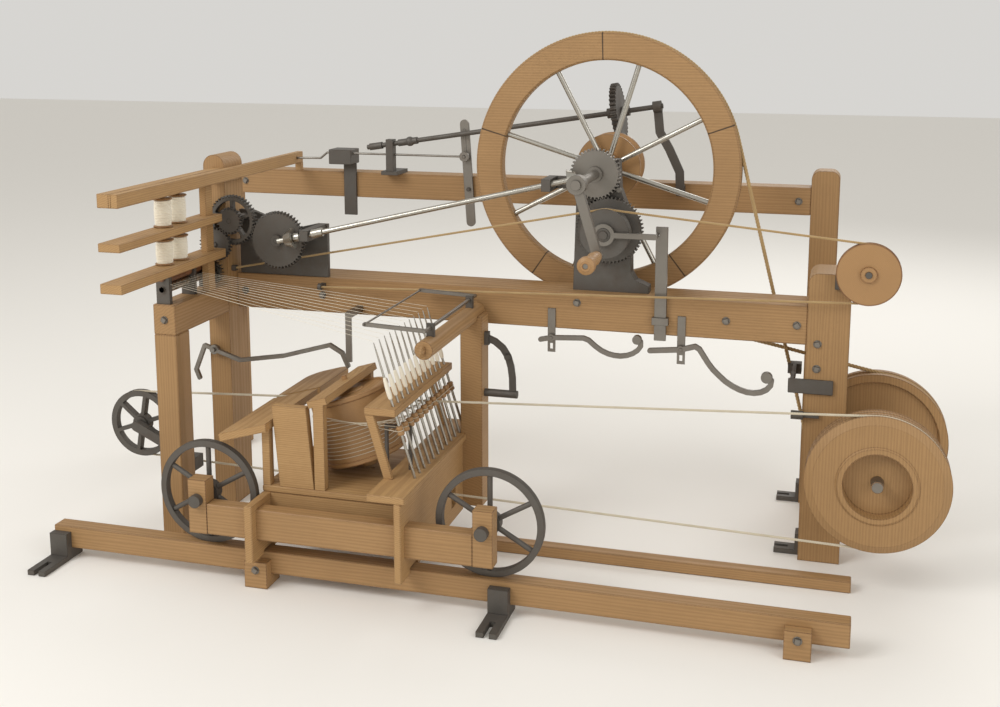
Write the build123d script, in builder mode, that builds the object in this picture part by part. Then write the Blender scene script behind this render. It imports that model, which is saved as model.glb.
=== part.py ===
# Spinning mule on a timber frame, in millimetres, +Z up.
# +X runs along the rails, from the creel to the driving pulleys. +Y runs away from the worker.
# The origin lies on the floor, under the middle of the whole machine.
import os
from math import acos, atan2, cos, degrees, hypot, radians, sin, sqrt

from build123d import *

os.makedirs("parts", exist_ok=True)

# Timber frame
rail_front_y = 93.0  # front face of the front rail and of the right front post
rail_thick = 160.0
rail_low_z = 715.0
rail_high_z = 838.0
back_y = 593.0  # front face of the back rail and of the back posts
back_thick = 90.0
back_rail_low_z = 1050.0
back_rail_high_z = 1146.0
post_x = 951.0  # left face of the right front post
post_width = 130.0
post_high_z = 945.0
back_post_x = 931.0
back_post_width = 95.0
back_post_high_z = 1206.0
back_left_x = -1371.0
back_left_width = 90.0
tall_post_x = -1096.0
tall_post_width = 80.0
tall_post_y = 25.0
tall_post_depth = 130.0
tall_post_high_z = 1262.0
beam_low_z = 712.0
beam_high_z = 812.0
beam_front_y = -335.0
left_post_depth = 85.0
shoulder_radius = 30.0
timber_edge = 2.5

# Floor rails and feet
floor_rail_left_x = -1371.0
floor_rail_right_x = 1119.0
floor_rail_front_y = -537.0
floor_rail_thick = 55.0
floor_rail_low_z = 36.0
floor_rail_high_z = 108.0
back_floor_rail_left_x = -1000.0
back_floor_rail_y = -112.0
back_floor_rail_thick = 45.0
back_floor_rail_high_z = 37.0
foot_reach = 146.0
foot_width = 62.0
foot_thick = 16.0
foot_slot = 16.0
fork_foot_xs = (-1340.0, 132.0)
plain_block_xs = (-638.0, 981.0)
block_width = 74.0

# Creel
creel_x = -1016.0  # right faces of the tall post, of the beam and of the creel post
creel_bar_width = 24.0
creel_board_width = 74.0
creel_front_y = -665.0
creel_top_z = (1176.0, 1218.0)
creel_middle_z = (1044.0, 1070.0)
creel_low_z = (918.0, 948.0)
creel_post_y = (-110.0, -65.0)
bobbin_radius = 27.0
bobbin_ys = (-345.0, -255.0)

# Driving wheel and gears
wheel_x = 266.0
wheel_z = 1229.0
wheel_y = 303.0
wheel_radius = 452.0
wheel_ring = 92.0
wheel_ring_thick = 46.0
spoke_count = 8
spoke_first = 28.0
spoke_radius = 9.0
boss_radius = 46.0
hub_radius = 110.0
axle_radius = 16.0
fit_gap = 0.05
gap = 0.5
module = 4.0
gear_thick = 22.0
hub_gear_y = 112.0  # front face of the gear on the wheel's axle
hub_teeth = 40
drum_teeth = 54
drum_x = 314.0
drum_y = 60.0
draw_drum_radius = 72.0
crown_y = 0.0  # front face of the crown wheel
crown_x = -812.0
crown_teeth = 48
crown_z = 979.0
spoked_teeth = 42
spoked_angle = 160.0  # from the crown wheel's centre, up from +X
small_teeth = 22
idler_teeth = 28
roller_teeth = 22
roller_x = -1062.0
roller_z = 861.0
lower_roller_radius = 16.0
upper_roller_radius = 18.0
roller_pin = 9.0
stand_ys = (-318.0, -160.0, -45.0)
stand_thick = 16.0
pinion_radius = 36.0
shaft_radius = 9.0
crank_y = -160.0
crank_reach = 225.0
crank_angle = 17.0  # from straight down, towards +X
crank_thick = 18.0
handle_length = 165.0
handle_radius = 21.0

# Ropes and pulleys
rope_radius = 6.5
band_radius = 4.0
cord_radius = 4.0
twin_x = 1179.0
twin_z = 362.0
twin_axle_radius = 18.0
band_y = -125.0
band_pulley_radius = 212.0
band_pulley_width = 80.0
rope_pulley_radius = 225.0
rope_pulley_width = 66.0
left_pulley_x = -1286.0
left_pulley_z = 330.0
left_pulley_radius = 118.0
draw_pulley_x = 1128.0
draw_pulley_z = 958.0
draw_pulley_radius = 97.0
cord_y = 60.0
cord_eye_x = -684.0
cord_eye_z = 812.0
cord_end_z = 862.0

# Levers
lever_thick = 10.0
lever_y = 79.0
lift_rod_x = 492.0
lift_rod_width = 38.0

# Carriage
travel = 850.0
track_wheel_radius = 165.0
track_wheel_xs = (-817.0, 94.0)
track_wheel_y = -510.0
track_wheel_thick = 24.0
rear_roller_radius = 45.0
rear_roller_xs = (-570.0, -215.0)
carriage_left_x = -796.0
carriage_right_x = 67.0
carriage_front_y = -590.0
carriage_beam_thick = 50.0
carriage_beam_z = (165.0, 262.0)
carriage_back_y = 0.0
side_thick = 27.0
left_side_x = -646.0
right_side_x = -166.0
side_front_y = -620.0
step_rail_z = (340.0, 362.0)
step_rail_x = (-250.0, -132.0)
spindle_count = 12
spindle_pitch = 44.0
spindle_first_y = -455.0
spindle_x = -158.0
spindle_length = 430.0
spindle_radius = 4.5
spindle_lean = 17.0  # towards the rollers, from upright
tin_drum_radius = 130.0
tin_drum_height = 215.0
tin_drum_x = -420.0
tin_drum_z = 452.0
carriage_post_x = (-152.0, -77.0)
carriage_post_y = (-20.0, 55.0)
top_bar_z = (735.0, 792.0)
top_bar_y = (-470.0, 68.0)

# Worked out from the values above
rail_back_y = rail_front_y + rail_thick
back_face_y = back_y + back_thick
tall_post_right = tall_post_x + tall_post_width
drum_gear_distance = module * (hub_teeth + drum_teeth) / 2
drum_z = wheel_z - sqrt(drum_gear_distance**2 - (drum_x - wheel_x) ** 2)
spoked_distance = module * (crown_teeth + spoked_teeth) / 2
spoked_x = crown_x + spoked_distance * cos(radians(spoked_angle))
spoked_z = crown_z + spoked_distance * sin(radians(spoked_angle))
small_y = crown_y - gear_thick + 2
wheel_bore = axle_radius + fit_gap
rope_path_radius = rope_pulley_radius
tin_drum_y = band_y - tin_drum_radius - band_radius - gap
carriage_beam_back = carriage_front_y + carriage_beam_thick
spindle_lean_x = -sin(radians(spindle_lean))
spindle_lean_z = cos(radians(spindle_lean))
back_roller_y = back_floor_rail_y + back_floor_rail_thick / 2


def save(piece, name):
    piece.part.label = name
    export_step(piece.part, f"parts/{name}.step")


def bar(x, y, z, edge=timber_edge, mode=Mode.ADD):
    """A squared bar between two values on each axis, with its edges eased."""
    block = Box(x[1] - x[0], y[1] - y[0], z[1] - z[0], mode=Mode.PRIVATE)
    if edge and mode == Mode.ADD:
        block = block.chamfer(edge, None, block.edges())
    add(block.moved(Location(((x[0] + x[1]) / 2, (y[0] + y[1]) / 2, (z[0] + z[1]) / 2))), mode=mode)


def pin(x, z, y0, y1, radius, mode=Mode.ADD):
    """A round bar along Y."""
    with Locations(Location((x, (y0 + y1) / 2, z), (90, 0, 0))):
        Cylinder(radius, y1 - y0, mode=mode)


def facing(y):
    """The plane at this Y, seen from the front: its x is +X and its y is +Z."""
    return Plane.XZ.offset(-y)


def tooth_outline(teeth, phase, size=module):
    """Corners of a gear's outline about its own centre, with a tooth at the phase angle."""
    step = 360.0 / teeth
    pitch = size * teeth / 2
    corners = []
    for tooth in range(teeth):
        at = phase + tooth * step
        for share, height in ((-0.27, -1.1), (-0.13, 0.8), (0.13, 0.8), (0.27, -1.1)):
            angle = radians(at + share * step)
            reach = pitch + height * size
            corners.append((reach * cos(angle), reach * sin(angle)))
    return corners


def toothed_disc(x, z, y0, thick, teeth, phase):
    with BuildSketch(Plane(origin=(x, y0 + thick, z), x_dir=(1, 0, 0), z_dir=(0, -1, 0))) as face:
        Polygon(*tooth_outline(teeth, phase), align=None)
    extrude(face.sketch, amount=thick)


def plate(corners, y, mode=Mode.ADD):
    """A flat plate with (x, z) corners, between two values of Y."""
    with BuildSketch(facing(y[1])) as face:
        Polygon(*corners, align=None)
    extrude(face.sketch, amount=y[1] - y[0], mode=mode)


def strip(points, width, y):
    """A flat iron lever that follows (x, z) points, with round ends and elbows."""
    with BuildSketch(facing(y[1])) as face:
        for first, second in zip(points, points[1:]):
            run = hypot(second[0] - first[0], second[1] - first[1])
            turn = degrees(atan2(second[1] - first[1], second[0] - first[0]))
            with Locations(Location(((first[0] + second[0]) / 2, (first[1] + second[1]) / 2, 0), (0, 0, turn))):
                Rectangle(run, width)
        with Locations(*points):
            Circle(width / 2)
    extrude(face.sketch, amount=y[1] - y[0])


def turned(x, z, profile, mode=Mode.ADD):
    """A piece turned about a line along Y, from (radius, y) corners."""
    with BuildSketch(Plane(origin=(x, 0, z), x_dir=(1, 0, 0), z_dir=(0, 0, 1))) as face:
        Polygon(*profile, align=None)
    revolve(face.sketch, axis=Axis((x, 0, z), (0, 1, 0)), revolution_arc=360, mode=mode)


def straight(start, end, radius, mode=Mode.ADD):
    """A round bar or one straight run of a cord."""
    run = Vector(*end) - Vector(*start)
    with BuildSketch(Plane(origin=start, z_dir=run)) as face:
        Circle(radius)
    extrude(face.sketch, amount=run.length, mode=mode)


def bend(x, y, z, reach, first, last, radius):
    """A cord round a pulley, from one angle up from +X to a greater one."""
    turn = radians(first)
    start = (x + reach * cos(turn), y, z + reach * sin(turn))
    with BuildSketch(Plane(origin=start, z_dir=(-sin(turn), 0, cos(turn)))) as face:
        Circle(radius)
    revolve(face.sketch, axis=Axis((x, y, z), (0, -1, 0)), revolution_arc=last - first)


def on_circle(x, y, z, reach, angle):
    return (x + reach * cos(radians(angle)), y, z + reach * sin(radians(angle)))


def tangent_angle(first, second, crossed=False):
    """Line of centres and the half angle of the tangents, for circles (x, z, radius)."""
    dx, dz = second[0] - first[0], second[1] - first[1]
    other = -second[2] if crossed else second[2]
    return degrees(atan2(dz, dx)), degrees(acos((first[2] - other) / hypot(dx, dz)))


# Long front rail, with its left end against the tall post
with BuildPart() as front_rail:
    bar((tall_post_right, post_x), (rail_front_y, rail_back_y), (rail_low_z, rail_high_z))
save(front_rail, "front_rail")

# Back rail, carried by the back posts
with BuildPart() as back_rail:
    bar((back_left_x + back_left_width, back_post_x), (back_y, back_face_y), (back_rail_low_z, back_rail_high_z))
save(back_rail, "back_rail")


def rounded_post(x, y, high, radius):
    """A post from the floor, with the two upper corners of its front rounded."""
    with BuildSketch(facing(y[1])) as face:
        Polygon((x[0], 0), (x[1], 0), (x[1], high), (x[0], high), align=None)
        fillet(vertices().group_by(Axis.Y)[-1], radius)
    extrude(face.sketch, amount=y[1] - y[0])


tie_x = (post_x + 20, post_x + 70)
with BuildPart() as right_posts:
    rounded_post((post_x, post_x + post_width), (rail_front_y, rail_back_y), post_high_z, shoulder_radius)
    rounded_post((back_post_x, back_post_x + back_post_width), (back_y, back_face_y), back_post_high_z, shoulder_radius)
    bar(tie_x, (rail_back_y, back_y), (60, 130))
    bar(tie_x, (rail_back_y, back_y), (760, 840))
save(right_posts, "right_posts")

with BuildPart() as left_posts:
    rounded_post(
        (tall_post_x, tall_post_right),
        (tall_post_y, tall_post_y + tall_post_depth),
        tall_post_high_z,
        tall_post_width / 2 - 1,
    )
    bar((tall_post_x, tall_post_right), (beam_front_y, beam_front_y + left_post_depth), (0, beam_low_z))
    bar((back_left_x, back_left_x + back_left_width), (back_y, back_face_y), (0, back_rail_high_z))
save(left_posts, "left_posts")

with BuildPart() as roller_beam:
    bar((tall_post_x, tall_post_right), (beam_front_y, tall_post_y), (beam_low_z, beam_high_z))
save(roller_beam, "roller_beam")

# Floor rails
with BuildPart() as front_floor_rail:
    bar(
        (floor_rail_left_x, floor_rail_right_x),
        (floor_rail_front_y, floor_rail_front_y + floor_rail_thick),
        (floor_rail_low_z, floor_rail_high_z),
    )
save(front_floor_rail, "front_floor_rail")

with BuildPart() as back_floor_rail:
    bar(
        (back_floor_rail_left_x, floor_rail_right_x),
        (back_floor_rail_y, back_floor_rail_y + back_floor_rail_thick),
        (0, back_floor_rail_high_z),
    )
save(back_floor_rail, "back_floor_rail")


def fork_foot(x):
    """An iron foot: a slotted sole before the rail, a web under it and an upright on its face."""
    half = foot_width / 2
    back = floor_rail_front_y + floor_rail_thick
    tip = floor_rail_front_y - foot_reach
    bar((x - half, x + half), (tip, back), (0, foot_thick), 0)
    bar((x - half, x + half), (floor_rail_front_y - 26, floor_rail_front_y), (foot_thick, 90), 0)
    bar((x - half, x + half), (floor_rail_front_y, back), (foot_thick, floor_rail_low_z), 0)
    bar((x - foot_slot / 2, x + foot_slot / 2), (tip - 1, tip + 70), (-1, foot_thick + 1), 0, Mode.SUBTRACT)



with BuildPart() as rail_blocks:
    for block_x in plain_block_xs:
        half = block_width / 2
        back = floor_rail_front_y + floor_rail_thick
        bar((block_x - half, block_x + half), (floor_rail_front_y - 34, floor_rail_front_y), (0, 84), 0)
        bar((block_x - half, block_x + half), (floor_rail_front_y, back), (0, floor_rail_low_z), 0)
save(rail_blocks, "rail_blocks")


def post_foot(x, y, z):
    """A forked iron foot screwed to the left side of a right-hand post."""
    bar((x - 78, x), (y, y + 54), (z, z + foot_thick), 0)
    bar((x - 12, x), (y, y + 54), (z + foot_thick, z + 70), 0)
    bar((x - 79, x - 34), (y + 19, y + 35), (z - 1, z + foot_thick + 1), 0, Mode.SUBTRACT)


with BuildPart() as iron_feet:
    for foot_x in fork_foot_xs:
        fork_foot(foot_x)
    post_foot(post_x, rail_front_y + 40, 0)
    post_foot(back_post_x, back_y + 5, 0)
save(iron_feet, "iron_feet")

# Creel
with BuildPart() as creel_frame:
    bar((creel_x - creel_bar_width, creel_x), creel_post_y, (beam_high_z, creel_top_z[0]), 1)
    bar((creel_x, creel_x + creel_bar_width), (creel_front_y, back_y + 20), creel_top_z, 1.5)
    bar((creel_x - 46, creel_x - 6), (creel_front_y, tall_post_y), creel_top_z, 1.5)
    bar((creel_x - 6, creel_x), (creel_front_y, creel_front_y + 45), creel_top_z, 0)
    bar((creel_x, creel_x + creel_bar_width), (back_y, back_y + 20), (back_rail_high_z, creel_top_z[0]), 0)
    board_right = creel_x + creel_bar_width
    for board_z, board_end in ((creel_middle_z, creel_post_y[1] + 20), (creel_low_z, small_y - 8)):
        bar((board_right - creel_board_width, board_right), (creel_front_y, board_end), board_z, 1.5)
    straight((creel_x - 2, 560, 1197.4), (creel_x + 26, 560, 1197.4), 6, Mode.SUBTRACT)
save(creel_frame, "creel_frame")


def bobbin(x, y, z0, z1):
    """A roving bobbin with two flanges on its skewer."""
    low, high = z0 + gap, z1 - 12
    with Locations((x, y, (z0 + gap + z1 - gap) / 2)):
        Cylinder(3.5, z1 - z0 - 2 * gap)
    with Locations((x, y, (low + high) / 2)):
        Cylinder(bobbin_radius, high - low - 12)
    for flange_z in (low + 3, high - 3):
        with Locations((x, y, flange_z)):
            Cylinder(bobbin_radius + 4, 6)


bobbin_x = creel_x - 22
with BuildPart() as bobbins:
    for bobbin_y in bobbin_ys:
        bobbin(bobbin_x, bobbin_y, creel_middle_z[1], creel_top_z[0])
        bobbin(bobbin_x, bobbin_y, creel_low_z[1], creel_middle_z[0])
save(bobbins, "bobbins")

# Rollers and their stands
upper_z = roller_z + lower_roller_radius + upper_roller_radius + gap
with BuildPart() as roller_stands:
    for stand_y in stand_ys:
        bar((roller_x - 24, roller_x + 24), (stand_y - stand_thick / 2, stand_y + stand_thick / 2), (beam_high_z, upper_z + 14), 0)
        pin(roller_x, roller_z, stand_y - stand_thick, stand_y + stand_thick, roller_pin + fit_gap, Mode.SUBTRACT)
        pin(roller_x, upper_z, stand_y - stand_thick, stand_y + stand_thick, roller_pin + fit_gap, Mode.SUBTRACT)
save(roller_stands, "roller_stands")

roller_front = stand_ys[0] - stand_thick
with BuildPart() as upper_roller:
    pin(roller_x, upper_z, roller_front, stand_ys[-1] + stand_thick, roller_pin)
    for first, second in zip(stand_ys, stand_ys[1:]):
        pin(roller_x, upper_z, first + stand_thick / 2 + gap, second - stand_thick / 2 - gap, upper_roller_radius)
save(upper_roller, "upper_roller")

# Gear train at the left: crown wheel, spoked wheel with its small gear, idler and roller gear
small_pitch = module * small_teeth / 2
idler_pitch = module * idler_teeth / 2
roller_pitch = module * roller_teeth / 2
to_roller = hypot(roller_x - spoked_x, roller_z - spoked_z)
near = small_pitch + idler_pitch
far = idler_pitch + roller_pitch
along = (near**2 - far**2 + to_roller**2) / (2 * to_roller)
aside = sqrt(max(near**2 - along**2, 0.0))
way_x = (roller_x - spoked_x) / to_roller
way_z = (roller_z - spoked_z) / to_roller
idler_x = spoked_x + along * way_x + aside * way_z
idler_z = spoked_z + along * way_z - aside * way_x
if idler_x > spoked_x + along * way_x:
    idler_x = spoked_x + along * way_x - aside * way_z
    idler_z = spoked_z + along * way_z + aside * way_x


def meshed_phase(teeth, own_phase, other_teeth, angle):
    """Phase of a gear that lies at this angle from another one, with a gap at that one's tooth."""
    step = 360.0 / teeth
    other_step = 360.0 / other_teeth
    into = ((angle - own_phase) / step) % 1.0
    return angle + 180.0 - (0.5 - into) * other_step


spoked_phase = meshed_phase(crown_teeth, 0.0, spoked_teeth, spoked_angle)
idler_angle = degrees(atan2(idler_z - spoked_z, idler_x - spoked_x))
idler_phase = meshed_phase(small_teeth, 0.0, idler_teeth, idler_angle)
roller_angle = degrees(atan2(roller_z - idler_z, roller_x - idler_x))
roller_phase = meshed_phase(idler_teeth, idler_phase, roller_teeth, roller_angle)

stud = 8.0
plate_y = (rail_front_y + 7, rail_front_y + 25)
with BuildPart() as crown_wheel:
    toothed_disc(crown_x, crown_z, crown_y, gear_thick, crown_teeth, 0.0)
    pin(crown_x, crown_z, crown_y - 12, crown_y, 20)
    pin(crown_x, crown_z, crown_y + gear_thick, plate_y[0] - gap, 14)
    pin(crown_x, crown_z, crown_y - 13, plate_y[0], stud + fit_gap, Mode.SUBTRACT)
save(crown_wheel, "crown_wheel")

spoked_pitch = module * spoked_teeth / 2
with BuildPart() as spoked_wheel:
    toothed_disc(spoked_x, spoked_z, crown_y, gear_thick, spoked_teeth, spoked_phase)
    with BuildSketch(facing(crown_y + gear_thick + 1)):
        with Locations((spoked_x, spoked_z)):
            Circle(spoked_pitch - 16)
            Circle(small_pitch - 10, mode=Mode.SUBTRACT)
        for arm in range(5):
            with Locations(Location((spoked_x, spoked_z, 0), (0, 0, 90 + arm * 72))):
                Rectangle(spoked_pitch * 2, 10, align=(Align.MIN, Align.CENTER), mode=Mode.SUBTRACT)
    extrude(amount=gear_thick + 2, mode=Mode.SUBTRACT)
    toothed_disc(spoked_x, spoked_z, small_y, 16, small_teeth, 0.0)
    pin(spoked_x, spoked_z, small_y + 16, crown_y, small_pitch - 12)
    pin(spoked_x, spoked_z, crown_y + gear_thick, plate_y[0] - gap, 14)
    pin(spoked_x, spoked_z, small_y - 1, plate_y[0], stud + fit_gap, Mode.SUBTRACT)
save(spoked_wheel, "spoked_wheel")

with BuildPart() as idler_gear:
    toothed_disc(idler_x, idler_z, small_y, 16, idler_teeth, idler_phase)
    pin(idler_x, idler_z, small_y - 1, small_y + 17, stud + fit_gap, Mode.SUBTRACT)
save(idler_gear, "idler_gear")

with BuildPart() as lower_roller:
    pin(roller_x, roller_z, roller_front, small_y + 16, roller_pin)
    for first, second in zip(stand_ys, stand_ys[1:]):
        pin(roller_x, roller_z, first + stand_thick / 2 + gap, second - stand_thick / 2 - gap, lower_roller_radius)
    toothed_disc(roller_x, roller_z, small_y, 16, roller_teeth, roller_phase)
save(lower_roller, "lower_roller")

# Iron plate behind the gears, standing on the front rail, with the studs that they turn on
shaft_front_y = crown_y - pinion_radius - 11
shaft_back_y = hub_gear_y - pinion_radius + 10
shaft_start = Vector(crown_x, shaft_front_y, crown_z)
shaft_run = Vector(wheel_x, shaft_back_y, wheel_z) - shaft_start
shaft_way = shaft_run.normalized()


def shaft_point(distance):
    at = shaft_start + shaft_way * distance
    return (at.X, at.Y, at.Z)


def shaft_at(x):
    """The point of the inclined shaft's line at this X."""
    return shaft_point((x - crown_x) / shaft_way.X)


collar_x = -690.0
collar_y, collar_z = shaft_at(collar_x)[1:]
bearing_x = 118.0
bearing_y, bearing_z = shaft_at(bearing_x)[1:]

with BuildPart() as gear_stand:
    plate(
        [
            (spoked_x - 22, rail_high_z),
            (collar_x + 20, rail_high_z),
            (collar_x + 20, collar_z + 18),
            (collar_x - 20, collar_z + 18),
            (crown_x + 20, crown_z + 26),
            (spoked_x + 24, spoked_z + 24),
            (spoked_x - 22, spoked_z + 24),
        ],
        plate_y,
    )
    bar((collar_x - 15, collar_x + 15), (collar_y - 20, plate_y[0]), (collar_z - 18, collar_z + 18), 0)
    straight(shaft_at(collar_x - 60), shaft_at(collar_x + 60), shaft_radius + fit_gap, Mode.SUBTRACT)
    pin(crown_x, crown_z, crown_y - 12, plate_y[0], stud)
    pin(spoked_x, spoked_z, small_y, plate_y[0], stud)
    pin(idler_x, idler_z, small_y - 6, tall_post_y - 8, stud)
    bar((idler_x - 30, idler_x + 4), (tall_post_y - 8, tall_post_y), (idler_z - 12, idler_z + 8), 0)
save(gear_stand, "gear_stand")

# Inclined shaft with a bevel pinion at each end and two loose collars
with BuildPart() as inclined_shaft:
    straight(shaft_point(24), shaft_point(shaft_run.length - 46), shaft_radius)
    for start, wide, narrow in ((52, 22, pinion_radius), (shaft_run.length - 82, pinion_radius, 22)):
        with BuildSketch(Plane(origin=shaft_point(start), z_dir=shaft_way)):
            Circle(wide)
        with BuildSketch(Plane(origin=shaft_point(start + 30), z_dir=shaft_way)):
            Circle(narrow)
        loft()
    straight(shaft_at(collar_x + 22), shaft_at(collar_x + 58), 15)
    straight(shaft_at(collar_x - 40), shaft_at(collar_x - 22), 15)
save(inclined_shaft, "inclined_shaft")

# Driving wheel with its rope groove, spokes, hub, axle and crank
rope_reach = wheel_radius - 2
rope_groove = rope_reach - rope_radius - gap
ring_y = (wheel_y - wheel_ring_thick / 2, wheel_y + wheel_ring_thick / 2)
ring_in = wheel_radius - wheel_ring
boss_y = (ring_y[0] + 1, hub_gear_y + 223)


def wheel_spoke(turn, radius, mode=Mode.ADD):
    angle = radians(turn)
    near_end = on_circle(wheel_x, wheel_y, wheel_z, boss_radius - 14, turn)
    far_end = on_circle(wheel_x, wheel_y, wheel_z, ring_in + 14, turn)
    straight(near_end, far_end, radius, mode)


spoke_turns = [spoke_first + spoke * 360 / spoke_count for spoke in range(spoke_count)]
with BuildPart() as wheel_rim:
    turned(
        wheel_x,
        wheel_z,
        [
            (ring_in, ring_y[0] + 5),
            (ring_in + 5, ring_y[0]),
            (wheel_radius - 5, ring_y[0]),
            (wheel_radius, ring_y[0] + 5),
            (wheel_radius, wheel_y - 12),
            (rope_groove, wheel_y - 7),
            (rope_groove, wheel_y + 7),
            (wheel_radius, wheel_y + 12),
            (wheel_radius, ring_y[1] - 5),
            (wheel_radius - 5, ring_y[1]),
            (ring_in + 5, ring_y[1]),
            (ring_in, ring_y[1] - 5),
        ],
    )
    for turn in spoke_turns:
        wheel_spoke(turn, spoke_radius + fit_gap, Mode.SUBTRACT)
save(wheel_rim, "wheel_rim")

with BuildPart() as wheel_spokes:
    for turn in spoke_turns:
        wheel_spoke(turn, spoke_radius)
save(wheel_spokes, "wheel_spokes")

with BuildPart() as wheel_hub:
    turned(
        wheel_x,
        wheel_z,
        [
            (axle_radius, boss_y[0]),
            (boss_radius, boss_y[0]),
            (boss_radius, 335),
            (hub_radius, 335),
            (hub_radius, 348),
            (hub_radius - 12, 356),
            (hub_radius - 12, 410),
            (hub_radius, 418),
            (hub_radius, 430),
            (axle_radius, 430),
        ],
    )
    for turn in spoke_turns:
        wheel_spoke(turn, spoke_radius + fit_gap, Mode.SUBTRACT)
save(wheel_hub, "wheel_hub")

hub_phase = 0.0
worm_y = (528.0, 590.0)
worm_radius = 58.0
with BuildPart() as wheel_axle:
    pin(wheel_x, wheel_z, crank_y - crank_thick / 2 - 14, back_face_y, axle_radius)
    toothed_disc(wheel_x, wheel_z, hub_gear_y, gear_thick, hub_teeth, hub_phase)
    pin(wheel_x, wheel_z, hub_gear_y - 14, hub_gear_y, 26)
    pin(wheel_x, wheel_z, worm_y[0], worm_y[1], worm_radius)
save(wheel_axle, "wheel_axle")

crank_turn = -90.0 + crank_angle
handle_x, _, handle_z = on_circle(wheel_x, crank_y, wheel_z, crank_reach, crank_turn)
crank_front = crank_y - crank_thick / 2
with BuildPart() as crank_arm:
    strip([(wheel_x, wheel_z), (handle_x, handle_z)], 30, (crank_front, crank_front + crank_thick))
    pin(wheel_x, wheel_z, crank_front - 6, crank_front + crank_thick + 10, 30)
    pin(wheel_x, wheel_z, crank_front - 20, crank_front + crank_thick + 20, axle_radius, Mode.SUBTRACT)
    pin(handle_x, handle_z, crank_front - handle_length, crank_front, 8)
save(crank_arm, "crank_arm")

with BuildPart() as crank_handle:
    turned(
        handle_x,
        handle_z,
        [
            (8 + fit_gap, crank_front - gap),
            (handle_radius - 5, crank_front - gap),
            (handle_radius, crank_front - 50),
            (handle_radius - 4, crank_front - handle_length + 32),
            (handle_radius + 6, crank_front - handle_length + 24),
            (handle_radius + 6, crank_front - handle_length + 6),
            (handle_radius - 6, crank_front - handle_length - 2),
            (8 + fit_gap, crank_front - handle_length - 2),
        ],
    )
save(crank_handle, "crank_handle")

# Stand on the front rail that carries the wheel's axle and the draw drum
drum_angle = degrees(atan2(drum_z - wheel_z, drum_x - wheel_x))
drum_phase = meshed_phase(hub_teeth, hub_phase, drum_teeth, drum_angle)
stand_y = (rail_front_y + 47, rail_front_y + 97)
with BuildPart() as wheel_stand:
    plate(
        [
            (191, rail_high_z),
            (443, rail_high_z),
            (443, 862),
            (400, 880),
            (384, 905),
            (380, 1090),
            (344, 1180),
            (338, 1275),
            (206, 1275),
            (199, 1140),
        ],
        stand_y,
    )
    pin(wheel_x, wheel_z, stand_y[0] - 1, stand_y[1] + 1, wheel_bore, Mode.SUBTRACT)
    bar((bearing_x - 15, 215), (stand_y[0], stand_y[0] + 20), (bearing_z - 20, bearing_z + 20), 0)
    bar((bearing_x - 15, bearing_x + 15), (bearing_y - 22, stand_y[0] + 20), (bearing_z - 20, bearing_z + 20), 0)
    straight(shaft_at(bearing_x - 60), shaft_at(bearing_x + 60), shaft_radius + fit_gap, Mode.SUBTRACT)
    pin(drum_x, drum_z, 10, stand_y[0], 14)
save(wheel_stand, "wheel_stand")

with BuildPart() as draw_drum:
    toothed_disc(drum_x, drum_z, hub_gear_y, gear_thick, drum_teeth, drum_phase)
    turned(
        drum_x,
        drum_z,
        [
            (5, 16),
            (22, 16),
            (22, 35),
            (draw_drum_radius + 8, 35),
            (draw_drum_radius + 8, 45),
            (draw_drum_radius, 49),
            (draw_drum_radius, 71),
            (draw_drum_radius + 8, 75),
            (draw_drum_radius + 8, 86),
            (draw_drum_radius - 14, 90),
            (draw_drum_radius - 14, hub_gear_y),
            (5, hub_gear_y),
        ],
    )
    pin(drum_x, drum_z, 0, stand_y[0], 14 + fit_gap, Mode.SUBTRACT)
save(draw_drum, "draw_drum")

lever_pin_x = lift_rod_x - 14
lever_pin_z = drum_z
rod_y = (77.0, 89.0)
with BuildPart() as clutch_lever:
    strip([(drum_x + 26, drum_z), (lever_pin_x, lever_pin_z)], 18, (18, 28))
    pin(drum_x, drum_z, 18, 28, 36)
    pin(drum_x, drum_z, 17, 29, 22.5, Mode.SUBTRACT)
    pin(lever_pin_x, lever_pin_z, 28, rod_y[1] + 3, 5)
save(clutch_lever, "clutch_lever")

with BuildPart() as lift_rod:
    half = lift_rod_width / 2
    bar((lift_rod_x - half, lift_rod_x + half), rod_y, (700, drum_z + 24), 0)
    bar((lever_pin_x - 6.5, lever_pin_x + 6.5), (rod_y[0] - 1, rod_y[1] + 1), (lever_pin_z - 5.3, lever_pin_z + 5.3), 0, Mode.SUBTRACT)
save(lift_rod, "lift_rod")

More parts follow.
